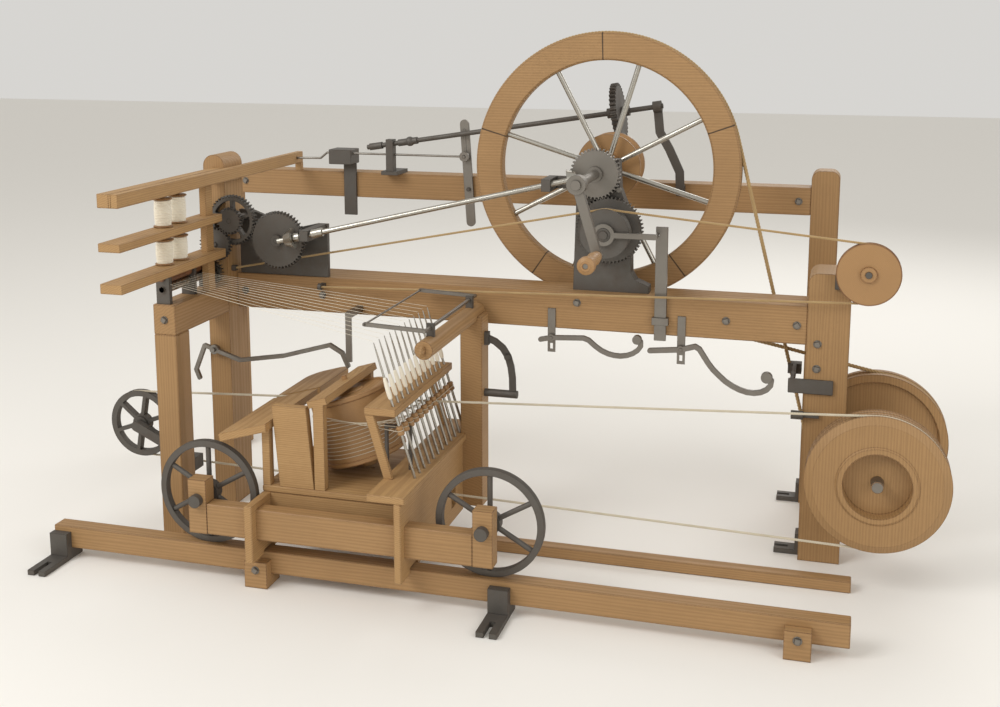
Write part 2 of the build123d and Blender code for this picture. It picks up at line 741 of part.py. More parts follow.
# Pulleys
band_reach = band_pulley_radius - 4
twin_band_bottom = band_reach - band_radius - gap
with BuildPart() as twin_pulleys:
    front = band_y - band_pulley_width / 2 + 15
    back = front + band_pulley_width
    outline = [(twin_axle_radius, front + 40), (100, front + 40), (100, front - 5), (116, front - 5), (121, front)]
    outline += [(band_pulley_radius - 24, front), (band_pulley_radius, front + 12)]
    for middle_y in (band_y, band_y + 24, band_y + 45):
        outline += [
            (band_pulley_radius, middle_y - 8),
            (twin_band_bottom, middle_y - 4.5),
            (twin_band_bottom, middle_y + 4.5),
            (band_pulley_radius, middle_y + 8),
        ]
    outline += [(band_pulley_radius, back), (band_pulley_radius - 30, back), (150, back - 20), (60, back - 20)]
    outline += [(60, back), (twin_axle_radius, back)]
    turned(twin_x, twin_z, outline)
    pulley_reach = rope_pulley_radius - rope_radius
    pulley_bottom = pulley_reach - rope_radius - gap
    front = wheel_y - rope_pulley_width / 2
    back = wheel_y + rope_pulley_width / 2
    turned(
        twin_x,
        twin_z,
        [
            (twin_axle_radius, front),
            (50, front),
            (60, front + 16),
            (rope_pulley_radius - 30, front + 16),
            (rope_pulley_radius - 26, front),
            (rope_pulley_radius, front),
            (rope_pulley_radius, wheel_y - 12),
            (pulley_bottom, wheel_y - 7),
            (pulley_bottom, wheel_y + 7),
            (rope_pulley_radius, wheel_y + 12),
            (rope_pulley_radius, back),
            (twin_axle_radius, back),
        ],
    )
    pin(twin_x, twin_z, band_y - band_pulley_width / 2 + 5, wheel_y + rope_pulley_width / 2 + 12, twin_axle_radius)
save(twin_pulleys, "twin_pulleys")

left_reach = left_pulley_radius - 5
left_bottom = left_reach - band_radius - gap
arm_y = (band_y - 50, band_y - 25)
with BuildPart() as left_pulley:
    turned(
        left_pulley_x,
        left_pulley_z,
        [
            (10 + fit_gap, band_y - 20),
            (26, band_y - 20),
            (26, band_y - 12),
            (left_pulley_radius, band_y - 12),
            (left_bottom, band_y - 4.5),
            (left_bottom, band_y + 4.5),
            (left_pulley_radius, band_y + 12),
            (26, band_y + 12),
            (26, band_y + 20),
            (10 + fit_gap, band_y + 20),
        ],
    )
    with BuildSketch(facing(band_y + 13)) as windows:
        with Locations((left_pulley_x, left_pulley_z)):
            Circle(left_bottom - 11)
            Circle(33, mode=Mode.SUBTRACT)
        for arm in range(6):
            with Locations(Location((left_pulley_x, left_pulley_z, 0), (0, 0, 20 + arm * 60))):
                Rectangle(left_pulley_radius, 13, align=(Align.MIN, Align.CENTER), mode=Mode.SUBTRACT)
    extrude(windows.sketch, amount=26, mode=Mode.SUBTRACT)
save(left_pulley, "left_pulley")

draw_reach = draw_pulley_radius - 5
draw_bottom = draw_reach - cord_radius - gap
with BuildPart() as draw_pulley:
    turned(
        draw_pulley_x,
        draw_pulley_z,
        [
            (10 + fit_gap, cord_y - 18),
            (24, cord_y - 18),
            (24, cord_y - 10),
            (draw_pulley_radius, cord_y - 10),
            (draw_bottom, cord_y - 4.5),
            (draw_bottom, cord_y + 4.5),
            (draw_pulley_radius, cord_y + 10),
            (24, cord_y + 10),
            (24, cord_y + 18),
            (10 + fit_gap, cord_y + 18),
        ],
    )
save(draw_pulley, "draw_pulley")

# Crossed rope between the driving wheel and the back pulley
rope_line, rope_half = tangent_angle(
    (wheel_x, wheel_z, rope_reach), (twin_x, twin_z, pulley_reach), crossed=True
)
upper, lower = rope_line + rope_half, rope_line - rope_half
with BuildPart() as rim_rope:
    for angle in (upper, lower):
        leaving = on_circle(wheel_x, wheel_y, wheel_z, rope_reach, angle)
        arriving = on_circle(twin_x, wheel_y, twin_z, pulley_reach, angle + 180)
        straight(leaving, arriving, rope_radius)
    bend(wheel_x, wheel_y, wheel_z, rope_reach, upper, lower + 360, rope_radius)
    bend(twin_x, wheel_y, twin_z, pulley_reach, upper - 180, lower + 180, rope_radius)
save(rim_rope, "rim_rope")

# Band that drives the spindles, from the front pulley to the left pulley and back
band_line, band_half = tangent_angle(
    (left_pulley_x, left_pulley_z, left_reach), (twin_x, twin_z, band_reach)
)
upper, lower = band_line + band_half, band_line - band_half
with BuildPart() as spindle_band:
    for angle in (upper, lower):
        leaving = on_circle(left_pulley_x, band_y, left_pulley_z, left_reach, angle)
        arriving = on_circle(twin_x, band_y, twin_z, band_reach, angle)
        straight(leaving, arriving, band_radius)
    bend(left_pulley_x, band_y, left_pulley_z, left_reach, upper, lower + 360, band_radius)
    bend(twin_x, band_y, twin_z, band_reach, lower, upper, band_radius)
save(spindle_band, "spindle_band")

# Draw cord: a pin on the tall post, over the drum, round the draw pulley and back to an eye
cord_start = (tall_post_right + 10, cord_y, cord_end_z)
cord_end = (cord_eye_x, cord_y, cord_eye_z)
drum_reach = draw_drum_radius + cord_radius + gap
first_line, first_half = tangent_angle((cord_start[0], cord_start[2], 0.0), (drum_x, drum_z, drum_reach))
next_line, next_half = tangent_angle((drum_x, drum_z, drum_reach), (draw_pulley_x, draw_pulley_z, draw_reach))
last_line, last_half = tangent_angle((draw_pulley_x, draw_pulley_z, draw_reach), (cord_end[0], cord_end[2], 0.0))
over_left = first_line + first_half
over_right = next_line + next_half
under = last_line + last_half
while under > 0:
    under -= 360
with BuildPart() as draw_cord:
    straight(cord_start, on_circle(drum_x, cord_y, drum_z, drum_reach, over_left), cord_radius)
    bend(drum_x, cord_y, drum_z, drum_reach, over_right, over_left, cord_radius)
    straight(
        on_circle(drum_x, cord_y, drum_z, drum_reach, over_right),
        on_circle(draw_pulley_x, cord_y, draw_pulley_z, draw_reach, over_right),
        cord_radius,
    )
    bend(draw_pulley_x, cord_y, draw_pulley_z, draw_reach, under, over_right, cord_radius)
    straight(on_circle(draw_pulley_x, cord_y, draw_pulley_z, draw_reach, under), cord_end, cord_radius)
save(draw_cord, "draw_cord")

# Irons that carry the pulleys, the cord's ends and the left lever
brace_z = (205.0, 250.0)
guide_roller_z = 490.0
left_brace_y = beam_front_y + left_post_depth
with BuildPart() as pulley_brackets:
    strip([(left_pulley_x, left_pulley_z), (-1066, 227)], 34, arm_y)
    bar((-1086, -1042), (left_brace_y, arm_y[1]), brace_z, 0)
    pin(left_pulley_x, left_pulley_z, arm_y[1], band_y + 24, 10)
    block_x = post_x + post_width
    bar((block_x, twin_x + 36), (130, 216), (twin_z - 34, twin_z + 34), 3)
    pin(twin_x, twin_z, 120, 226, twin_axle_radius + fit_gap, Mode.SUBTRACT)
    bar((post_x + 79, draw_pulley_x + 22), (rail_front_y - 12, rail_front_y), (draw_pulley_z - 58, draw_pulley_z - 16), 0)
    bar((draw_pulley_x - 16, draw_pulley_x + 22), (rail_front_y - 12, rail_front_y), (draw_pulley_z - 16, draw_pulley_z + 22), 0)
    pin(draw_pulley_x, draw_pulley_z, cord_y - 22, rail_front_y - 12, 10)
    bar((900, 1038), (rail_front_y - 12, rail_front_y), (560, 606), 2)
    bar((905, 917), (rail_front_y, 285), (566, 600), 0)
    bar((889, 933), (285, 322), (566, 600), 0)
    for angle in (rope_line + rope_half, rope_line - rope_half):
        leaving = on_circle(wheel_x, wheel_y, wheel_z, rope_reach, angle)
        arriving = on_circle(twin_x, wheel_y, twin_z, pulley_reach, angle + 180)
        straight(leaving, arriving, rope_radius + 2, Mode.SUBTRACT)
    bar((post_x, post_x + 48), (cord_y + 18, rail_front_y), (guide_roller_z - 7, guide_roller_z + 7), 0)
    straight((913, lever_y, guide_roller_z), (post_x, lever_y, guide_roller_z), 14)
    bar((cord_eye_x - 8, cord_eye_x + 8), (cord_y + 9, rail_front_y), (cord_eye_z - 8, cord_eye_z + 8), 0)
    straight((cord_eye_x - 6, cord_y, cord_eye_z), (cord_eye_x + 6, cord_y, cord_eye_z), 12)
    straight((cord_eye_x - 9, cord_y, cord_eye_z), (cord_eye_x + 9, cord_y, cord_eye_z), cord_radius + 0.5, Mode.SUBTRACT)
    bar((tall_post_right, tall_post_right + 16), (cord_y - 9, cord_y + 9), (cord_end_z - 9, cord_end_z + 9), 0)
    straight((cord_start[0] - 3, cord_y, cord_end_z - 0.6), (cord_start[0] + 57, cord_y, cord_end_z + 11.4), cord_radius + 1.5, Mode.SUBTRACT)
save(pulley_brackets, "pulley_brackets")

# Scroll levers under the front rail
lever_left = (131.0, 684.0)
lever_right = (560.0, 674.0)
left_lever_pivot = (-1066.0, 578.0)
hanger_y = (rail_front_y - 4, rail_front_y)
scroll_y = (lever_y - 1, lever_y + 9)
catch_x = -550.0
with BuildPart() as lever_hangers:
    for pivot in (lever_left, lever_right):
        bar((pivot[0] - 13, pivot[0] + 13), hanger_y, (pivot[1] - 50, 782), 0)
        bar((pivot[0] - 5, pivot[0] + 5), hanger_y, (pivot[1] - 40, pivot[1] - 20), 0, Mode.SUBTRACT)
        pin(pivot[0], pivot[1], scroll_y[0] - 3, hanger_y[0], 6)
    pin(left_lever_pivot[0], left_lever_pivot[1], -16, tall_post_y, 8)
    bar((catch_x - 10, catch_x + 10), (-18, -8), (575, 748), 0)
    bar((catch_x - 10, catch_x + 10), (-8, rail_front_y), (728, 748), 0)
    half = lift_rod_width / 2
    for side in (-1, 1):
        edge_x = lift_rod_x + side * (half + gap)
        bar(sorted((edge_x, edge_x + side * 7)), (rod_y[0], rail_front_y), (752, 776), 0)
    bar((lift_rod_x - half - 7.5, lift_rod_x + half + 7.5), (rod_y[0] - 6, rod_y[0] - gap), (752, 776), 0)
    bar((lift_rod_x - half - 7.5, lift_rod_x - half - gap), (rod_y[0] - 6, rod_y[0]), (752, 776), 0)
    bar((lift_rod_x + half + gap, lift_rod_x + half + 7.5), (rod_y[0] - 6, rod_y[0]), (752, 776), 0)
save(lever_hangers, "lever_hangers")

with BuildPart() as scroll_lever_left:
    strip([(96, 676), lever_left, (240, 690), (258, 684), (281, 665), (301, 652)], 16, scroll_y)
    strip([(301, 652), (323, 643), (343, 639), (364, 638), (386, 642), (405, 650), (420, 661), (430, 675), (430, 690)], 16, scroll_y)
    pin(418, 697, scroll_y[0] - 3, scroll_y[1] + 3, 15)
    pin(lever_left[0], lever_left[1], scroll_y[0], scroll_y[1], 13)
    pin(lever_left[0], lever_left[1], scroll_y[0] - 1, scroll_y[1] + 1, 6 + fit_gap, Mode.SUBTRACT)
save(scroll_lever_left, "scroll_lever_left")

with BuildPart() as scroll_lever_right:
    strip([(461, 664), lever_right, (606, 688), (620, 680), (635, 657), (649, 636), (664, 617), (684, 598)], 17, scroll_y)
    strip([(684, 598), (705, 580), (728, 566), (751, 556), (774, 550), (796, 549), (817, 553), (835, 563)], 17, scroll_y)
    strip([(835, 563), (847, 578), (849, 594)], 17, scroll_y)
    pin(834, 603, scroll_y[0] - 3, scroll_y[1] + 3, 18)
    pin(lever_right[0], lever_right[1], scroll_y[0], scroll_y[1], 13)
    pin(lever_right[0], lever_right[1], scroll_y[0] - 1, scroll_y[1] + 1, 6 + fit_gap, Mode.SUBTRACT)
save(scroll_lever_right, "scroll_lever_right")

with BuildPart() as left_lever:
    strip(
        [(-1128, 470), (-1140, 500), (-1103, 590), (-1066, 578), (-968, 546), (-800, 574), (-625, 625), (-580, 600), (-560, 556)],
        14,
        (-6, 6),
    )
    pin(left_lever_pivot[0], left_lever_pivot[1], -6, 6, 17)
    pin(left_lever_pivot[0], left_lever_pivot[1], -7, 7, 8 + fit_gap, Mode.SUBTRACT)
save(left_lever, "left_lever")

# Tappet shaft on the back rail, turned by the worm on the wheel's axle
tappet_y = 560.0
disc_x = 257.0
disc_radius = 108.5
worm_gap = 2.5
disc_z = wheel_z + worm_radius + worm_gap + disc_radius
tappet_rise = (1413.0 - 1272.0) / (392.0 + 498.0)


def tappet_at(x):
    return (x, tappet_y, disc_z + (x - disc_x) * tappet_rise)


tappet_way = Vector(1, 0, tappet_rise).normalized()


def tappet_point(x, along):
    at = Vector(*tappet_at(x)) + tappet_way * along
    return (at.X, at.Y, at.Z)


stand_left_x, stand_right_x = -607.0, 395.0
with BuildPart() as tappet_shaft:
    straight(tappet_at(-700), tappet_at(stand_right_x + 20), 9)
    straight(tappet_at(-690), tappet_at(-640), 13)
    with Locations(tappet_at(-530)):
        Sphere(18)
    straight(tappet_at(-575), tappet_at(-500), 13)
    straight(tappet_point(disc_x, -40), tappet_point(disc_x, 40), 18)
    with BuildSketch(Plane(origin=tappet_point(disc_x, -11), z_dir=tappet_way)):
        Polygon(*tooth_outline(36, 0.0, (disc_radius - 4) / 19.0), align=None)
    extrude(amount=22)
save(tappet_shaft, "tappet_shaft")

slot_pivot = (-308.0, 1098.0)
wire_y = tappet_y
with BuildPart() as back_rail_irons:
    bar((stand_left_x - 32, stand_left_x + 32), (back_y - 55, back_y + 60), (back_rail_high_z, back_rail_high_z + 14), 0)
    bar((stand_left_x - 14, stand_left_x + 14), (tappet_y - 17, tappet_y + 17), (back_rail_high_z + 14, tappet_at(stand_left_x)[2] + 18), 0)
    strip([(481, 1120), (478, 1190), (440, 1270), (405, 1330), (stand_right_x, tappet_at(stand_right_x)[2])], 30, (tappet_y, tappet_y + 12))
    bar((466, 496), (tappet_y + 12, back_y), (1105, 1140), 0)
    straight(tappet_point(stand_right_x, -15), tappet_point(stand_right_x, 15), 20)
    for x in (stand_left_x, stand_right_x):
        straight(tappet_point(x, -60), tappet_point(x, 60), 9 + fit_gap, Mode.SUBTRACT)
    plate([(206, back_rail_high_z), (326, back_rail_high_z), (306, 1278), (226, 1278)], (back_y + 5, back_y + 65))
    pin(wheel_x, wheel_z, back_y, back_face_y, wheel_bore, Mode.SUBTRACT)
    bar((-809, -759), (back_y - 10, back_y), (982, 1180), 0)
    bar((-852, -761), (tappet_y - 20, back_y + 30), (1180, 1236), 2)
    straight((-870, wire_y, 1222), (-560, wire_y, 1222), 4.6, Mode.SUBTRACT)
    pin(slot_pivot[0], slot_pivot[1], back_y - 22, back_y, 7)
save(back_rail_irons, "back_rail_irons")

lever_face = (back_y - 12, back_y - 3)
with BuildPart() as slotted_lever:
    strip([(-300, 975), (-308, 1098), (-324, 1340)], 34, lever_face)
    strip([(-320, 1240), (-324, 1320)], 8, (lever_face[0] - 1, lever_face[1] + 1))
    pin(slot_pivot[0], slot_pivot[1], lever_face[0] - 2, lever_face[1] + 2, 7 + fit_gap, Mode.SUBTRACT)
    pin(-318, 1222, wire_y - 8, lever_face[0], 5)
save(slotted_lever, "slotted_lever")

with BuildPart() as wire_link:
    straight((-1064, wire_y, 1196), (-893, wire_y, 1200), 4)
    straight((-893, wire_y, 1200), (-866, wire_y, 1222), 4)
    straight((-866, wire_y, 1222), (-334, wire_y, 1222), 4)
    with Locations((-893, wire_y, 1200), (-866, wire_y, 1222)):
        Sphere(4)
    with Locations((-1064, wire_y, 1196)):
        Sphere(7)
    pin(-318, 1222, wire_y - 5, wire_y + 5, 18)
    pin(-318, 1222, wire_y - 6, wire_y + 6, 6.2, Mode.SUBTRACT)
save(wire_link, "wire_link")

# Bolt heads of the frame, each on the face of its timber
with BuildPart() as frame_bolts:
    for x, z in ((-985, 776), (215, 805), (700, 776), (920, 776), (-690, 776)):
        pin(x, z, rail_front_y - 9, rail_front_y, 13)
    for x, z in ((985, 640), (985, 720), (1055, 200)):
        pin(x, z, rail_front_y - 9, rail_front_y, 13)
    for x, z in ((-1056, 762),):
        pin(x, z, beam_front_y - 9, beam_front_y, 13)
    for x, z in ((-1230, 1098), (890, 1098)):
        pin(x, z, back_y - 9, back_y, 13)
    for block_x in plain_block_xs:
        pin(block_x, 58, floor_rail_front_y - 43, floor_rail_front_y - 34, 12)
    for x, z in ((339, 1177), (222, 1000)):
        pin(x, z, stand_y[0] - 5, stand_y[0], 11)
save(frame_bolts, "frame_bolts")

# Carriage: front and back beams with the axle blocks
carriage_back_z = (125.0, 205.0)
axle_z = floor_rail_high_z + track_wheel_radius
with BuildPart() as carriage_beams:
    bar(
        (track_wheel_xs[0] + 30, track_wheel_xs[1] - 30),
        (carriage_front_y, carriage_beam_back),
        carriage_beam_z,
    )
    for wheel in track_wheel_xs:
        bar((wheel - 30, wheel + 30), (carriage_front_y, carriage_beam_back), (165, 336), 0)
        pin(wheel, axle_z, carriage_front_y - 12, carriage_beam_back + 2, 12, Mode.SUBTRACT)
    bar((left_side_x, carriage_post_x[0]), (carriage_back_y, 45), carriage_back_z)
save(carriage_beams, "carriage_beams")

right_side_z = (95.0, 340.0)
left_side_z = (100.0, 282.0)
notch_y = (floor_rail_front_y - 8, floor_rail_front_y + floor_rail_thick + 8)
band_slot = ((-146.0, -104.0), (145.0, 205.0))
with BuildPart() as carriage_sides:
    bar((left_side_x, left_side_x + side_thick), (side_front_y, -200), left_side_z)
    bar((left_side_x, left_side_x + side_thick), (-200, 0), (120, 180), 0)
    bar((right_side_x, right_side_x + side_thick - 5), (side_front_y, carriage_post_y[0]), right_side_z)
    for x in (left_side_x, right_side_x):
        bar((x - 1, x + side_thick + 1), notch_y, (0, floor_rail_high_z + 8), 0, Mode.SUBTRACT)
        bar((x - 1, x + side_thick + 1), (carriage_front_y, carriage_beam_back), carriage_beam_z, 0, Mode.SUBTRACT)
        bar((x - 1, x + side_thick + 1), band_slot[0], band_slot[1], 0, Mode.SUBTRACT)
save(carriage_sides, "carriage_sides")

floor_z = (282.0, 302.0)
support_left = ((-592.0, floor_z[1]), (-613.0, 560.0))
shelf_low = (-776.0, 464.0)
shelf_high = (-614.0, 511.0)
shelf_slope = (shelf_high[1] - shelf_low[1]) / (shelf_high[0] - shelf_low[0])


def shelf_under(x):
    """Height of the shelf's underside at this X."""
    return shelf_high[1] - 26 + (x - shelf_high[0]) * shelf_slope


# Line of the upright drum that the band turns
drum_way = Vector(spindle_lean_x, 0, spindle_lean_z)
tin_centre = Vector(tin_drum_x, tin_drum_y, tin_drum_z)


def tin_point(along):
    at = tin_centre + drum_way * along
    return (at.X, at.Y, at.Z)


tin_half = tin_drum_height / 2

with BuildPart() as carriage_boards:
    bar((left_side_x, right_side_x), (-490, -60), floor_z)
    bar((left_side_x + side_thick, right_side_x), (-492, -468), (150, floor_z[0]), 0)
    plate([(-588, floor_z[1]), (-475, floor_z[1]), (-496, 560), (-609, 560)], (-486, -460))
    plate(
        [
            (-645, carriage_back_z[1]),
            (-620, carriage_back_z[1]),
            (-620, shelf_under(-620)),
            (-645, shelf_under(-645)),
        ],
        (8, 38),
    )
    plate(
        [(-645, floor_z[1]), (-620, floor_z[1]), (-620, shelf_under(-620)), (-645, shelf_under(-645))],
        (-486, -460),
    )
    for y in (-486, -100):
        bar((-472, -438), (y, y + 26), (floor_z[1], tin_point(tin_half + 20)[2]), 0)
    with BuildSketch(Plane(origin=tin_point(tin_half + 14), x_dir=(0, 1, 0), z_dir=drum_way)):
        with Locations((-280 - tin_drum_y, 0)):
            Rectangle(412, 64)
    extrude(amount=22)
    straight(tin_point(-tin_half - 34), tin_point(-tin_half - 20), 26)
    straight(tin_point(-tin_half - 60), tin_point(tin_half + 60), 9 + fit_gap, Mode.SUBTRACT)
save(carriage_boards, "carriage_boards")

with BuildPart() as shelf_board:
    plate(
        [
            shelf_low,
            (shelf_low[0] + 6, shelf_low[1] - 24),
            (shelf_high[0], shelf_high[1] - 26),
            shelf_high,
        ],
        (-520, 175),
    )
    fillet(edges().filter_by(lambda e: e.length < 40).group_by(Axis.Y)[-1], 60)
    bar((shelf_low[0] - 5, shelf_high[0] + 5), (band_y - 12, band_y + 12), (400, 560), 0, Mode.SUBTRACT)
save(shelf_board, "shelf_board")

# Spindle rails: the step rail with the footsteps, and the bolster rail
spindle_ys = [spindle_first_y + place * spindle_pitch for place in range(spindle_count)]
bolster_z = (556.0, 580.0)
whorl_low = 136.0
whorl_radius = 11.0


def spindle_point(y, along):
    return (spindle_x + spindle_lean_x * along, y, step_rail_z[1] + spindle_lean_z * along)


with BuildPart() as spindle_rails:
    bar(step_rail_x, (side_front_y, 120), step_rail_z)
    bar((carriage_post_x[0], step_rail_x[1] + 1), carriage_post_y, (step_rail_z[0] - 1, step_rail_z[1] + 1), 0, Mode.SUBTRACT)
    bar((-306, -206), (-486, 58), bolster_z, 1.5)
    for y in (-486, 46):
        plate(
            [(-246, step_rail_z[1]), (-218, step_rail_z[1]), (-276, bolster_z[0]), (-304, bolster_z[0])],
            (y, y + 12),
        )
    for y in spindle_ys:
        straight(spindle_point(y, -6), spindle_point(y, 300), spindle_radius + 0.06, Mode.SUBTRACT)
save(spindle_rails, "spindle_rails")

with BuildPart() as spindles:
    for y in spindle_ys:
        straight(spindle_point(y, -5.5), spindle_point(y, spindle_length - 40), spindle_radius)
        with BuildSketch(Plane(origin=spindle_point(y, spindle_length - 40), z_dir=(spindle_lean_x, 0, spindle_lean_z))):
            Circle(spindle_radius)
        with BuildSketch(Plane(origin=spindle_point(y, spindle_length), z_dir=(spindle_lean_x, 0, spindle_lean_z))):
            Circle(1.8)
        loft()
        straight(spindle_point(y, whorl_low), spindle_point(y, whorl_low + 30), whorl_radius)
save(spindles, "spindles")

# Tall post of the carriage with the round top bar
bar_x = -121.0
bar_centre_z = (top_bar_z[0] + top_bar_z[1]) / 2
bar_radius = (top_bar_z[1] - top_bar_z[0]) / 2
with BuildPart() as carriage_post:
    bar(carriage_post_x, carriage_post_y, (110, bar_centre_z), 2)
    pin(bar_x, bar_centre_z, carriage_post_y[0] - 1, carriage_post_y[1] + 1, bar_radius - 3)
    pin(bar_x, bar_centre_z, top_bar_y[0], top_bar_y[1], bar_radius)
    with Locations((bar_x, top_bar_y[0] - 14, bar_centre_z)):
        Torus(13, 5, rotation=(0, 90, 0))
save(carriage_post, "carriage_post")

with BuildPart() as tin_drum:
    straight(tin_point(-tin_half), tin_point(tin_half), tin_drum_radius)
    straight(tin_point(-tin_half - 38), tin_point(tin_half + 50), 9)
save(tin_drum, "tin_drum")

# Faller: a rod with two arms and a wire over the spindles
faller_x, faller_z = -121.0, top_bar_z[1] + 26
faller_wire = (-312.0, faller_z + 8)
with BuildPart() as faller:
    pin(faller_x, faller_z, top_bar_y[0] + 6, 50, 6)
    for y in (top_bar_y[0] + 14, 40):
        strip([(faller_x, faller_z), faller_wire], 12, (y, y + 8))
    pin(faller_wire[0], faller_wire[1], top_bar_y[0] + 6, 50, 3)
save(faller, "faller")

with BuildPart() as carriage_irons:
    for y in (top_bar_y[0] + 60, -20):
        bar((faller_x - 12, faller_x + 12), (y, y + 14), (top_bar_z[1] - 3, faller_z + 12), 0)
    pin(bar_x, bar_centre_z, top_bar_y[0], top_bar_y[1], bar_radius, Mode.SUBTRACT)
    pin(faller_x, faller_z, top_bar_y[0], top_bar_y[1], 6 + fit_gap, Mode.SUBTRACT)
    for wheel in track_wheel_xs:
        pin(wheel, axle_z, carriage_front_y - 16, track_wheel_y + track_wheel_thick / 2 + 6, 12)
        pin(wheel, axle_z, carriage_front_y - 20, carriage_front_y, 20)
    arm_x = carriage_post_x[1]
    strip([(arm_x + 11, 686), (arm_x + 36, 676), (arm_x + 62, 656), (arm_x + 80, 628)], 22, (8, 18))
    strip([(arm_x + 80, 628), (arm_x + 90, 594), (arm_x + 95, 556), (arm_x + 96, 510)], 22, (8, 18))
    bar((arm_x, arm_x + 16), (4, 22), (664, 708), 0)
    straight((arm_x, 13, 500), (arm_x + 112, 13, 500), 13)
    pin(arm_x + 80, 628, -2, 8, 10)
    for x in rear_roller_xs:
        bar((x - 22, x + 22), (-62, carriage_back_y), (66, 165), 0)
        pin(x, back_floor_rail_high_z + rear_roller_radius, -112, -62, 8)
    for x in (-277, -200):
        bar((x, x + 10), (-394, -384), (step_rail_z[1], 500), 0)
    bar((-277, -190), (-394, -384), (490, 500), 0)
save(carriage_irons, "carriage_irons")


def track_wheel(x):
    low, high = track_wheel_y - track_wheel_thick / 2, track_wheel_y + track_wheel_thick / 2
    outer = track_wheel_radius
    turned(x, axle_z, [(outer - 20, low), (outer, low + 2), (outer, high - 2), (outer - 20, high)])
    turned(
        x,
        axle_z,
        [(12 + fit_gap, low - 6), (34, low - 6), (34, high + 4), (12 + fit_gap, high + 4)],
    )
    for spoke in range(6):
        angle = 30 + spoke * 60
        straight(
            on_circle(x, track_wheel_y, axle_z, 24, angle),
            on_circle(x, track_wheel_y, axle_z, outer - 12, angle),
            8,
        )
    pin(x, axle_z, low - 8, high + 8, 12 + fit_gap, Mode.SUBTRACT)


with BuildPart() as track_wheel_left:
    track_wheel(track_wheel_xs[0])
save(track_wheel_left, "track_wheel_left")

with BuildPart() as track_wheel_right:
    track_wheel(track_wheel_xs[1])
save(track_wheel_right, "track_wheel_right")


def rear_roller(x):
    z = back_floor_rail_high_z + rear_roller_radius
    pin(x, z, -104, -74, rear_roller_radius)
    pin(x, z, -105, -73, 8 + fit_gap, Mode.SUBTRACT)


with BuildPart() as rear_roller_left:
    rear_roller(rear_roller_xs[0])
save(rear_roller_left, "rear_roller_left")

with BuildPart() as rear_roller_right:
    rear_roller(rear_roller_xs[1])
save(rear_roller_right, "rear_roller_right")

# Yarns from the rollers to the spindle points
with BuildPart() as yarns:
    for place, y in enumerate(spindle_ys):
        tip = spindle_point(y, spindle_length)
        straight((roller_x + 27, -322 + place * 18.4, roller_z + 17), (tip[0] - 1, y, tip[2] + 3), 1.0)
save(yarns, "yarns")
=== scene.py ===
from math import acos, atan2, cos, degrees, hypot, pi, radians, sin, sqrt, tau

import bpy
import numpy as np
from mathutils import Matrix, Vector


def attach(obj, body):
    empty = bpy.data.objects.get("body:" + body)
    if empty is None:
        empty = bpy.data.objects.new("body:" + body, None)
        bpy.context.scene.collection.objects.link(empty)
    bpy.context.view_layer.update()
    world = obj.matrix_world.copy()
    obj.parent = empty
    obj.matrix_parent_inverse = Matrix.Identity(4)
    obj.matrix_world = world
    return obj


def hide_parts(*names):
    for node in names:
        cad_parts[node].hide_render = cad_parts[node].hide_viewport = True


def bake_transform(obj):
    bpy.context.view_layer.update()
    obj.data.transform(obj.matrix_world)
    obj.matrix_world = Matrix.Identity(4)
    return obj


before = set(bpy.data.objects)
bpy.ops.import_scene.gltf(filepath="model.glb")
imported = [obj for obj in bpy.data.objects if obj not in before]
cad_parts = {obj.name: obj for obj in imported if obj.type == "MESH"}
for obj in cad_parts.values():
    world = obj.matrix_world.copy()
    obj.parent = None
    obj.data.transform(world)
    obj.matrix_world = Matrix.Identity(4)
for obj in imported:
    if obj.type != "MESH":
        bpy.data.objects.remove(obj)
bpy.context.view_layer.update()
print("frame loaded")

mm = 0.001  # Blender works in metres, and the sizes below are in millimetres
wavePeriod = 0.314  # spacing of a wave texture's rings at scale 1


def linearColour(hexText):
    # sRGB hex to linear: low values divide by 12.92, the rest follow the 2.4 power curve
    values = [int(hexText[i:i + 2], 16) / 255 for i in (1, 3, 5)]
    return [v / 12.92 if v <= 0.04045 else ((v + 0.055) / 1.055) ** 2.4 for v in values] + [1.0]


def addNode(tree, kind, inputs=None, **settings):
    # one shader node: an input given as a socket is linked, any other value is written on it
    node = tree.nodes.new("ShaderNode" + kind)
    for key, value in settings.items():
        setattr(node, key, value)
    for key, value in (inputs or {}).items():
        if isinstance(value, bpy.types.NodeSocket):
            tree.links.new(value, node.inputs[key])
        else:
            node.inputs[key].default_value = value
    return node


def newMaterial(name):
    # an empty material with its shader and output
    material = bpy.data.materials.new(name)
    material.use_nodes = True
    tree = material.node_tree
    tree.nodes.clear()
    output = addNode(tree, "OutputMaterial")
    surface = addNode(tree, "BsdfPrincipled")
    tree.links.new(surface.outputs[0], output.inputs["Surface"])
    return material, tree, surface


def edgeMask(tree, radius, low, high):
    # 0 on flat faces, 1 on edges: how far a rounded normal turns from the true one
    soft = addNode(tree, "Bevel", {"Radius": radius * mm}, samples=4).outputs[0]
    true = addNode(tree, "NewGeometry").outputs["Normal"]
    turn = addNode(tree, "VectorMath", {0: soft, 1: true}, operation="DOT_PRODUCT")
    mask = addNode(tree, "MapRange", {0: turn.outputs["Value"], 1: high, 2: low, 3: 1.0, 4: 0.0})
    return mask.outputs[0]


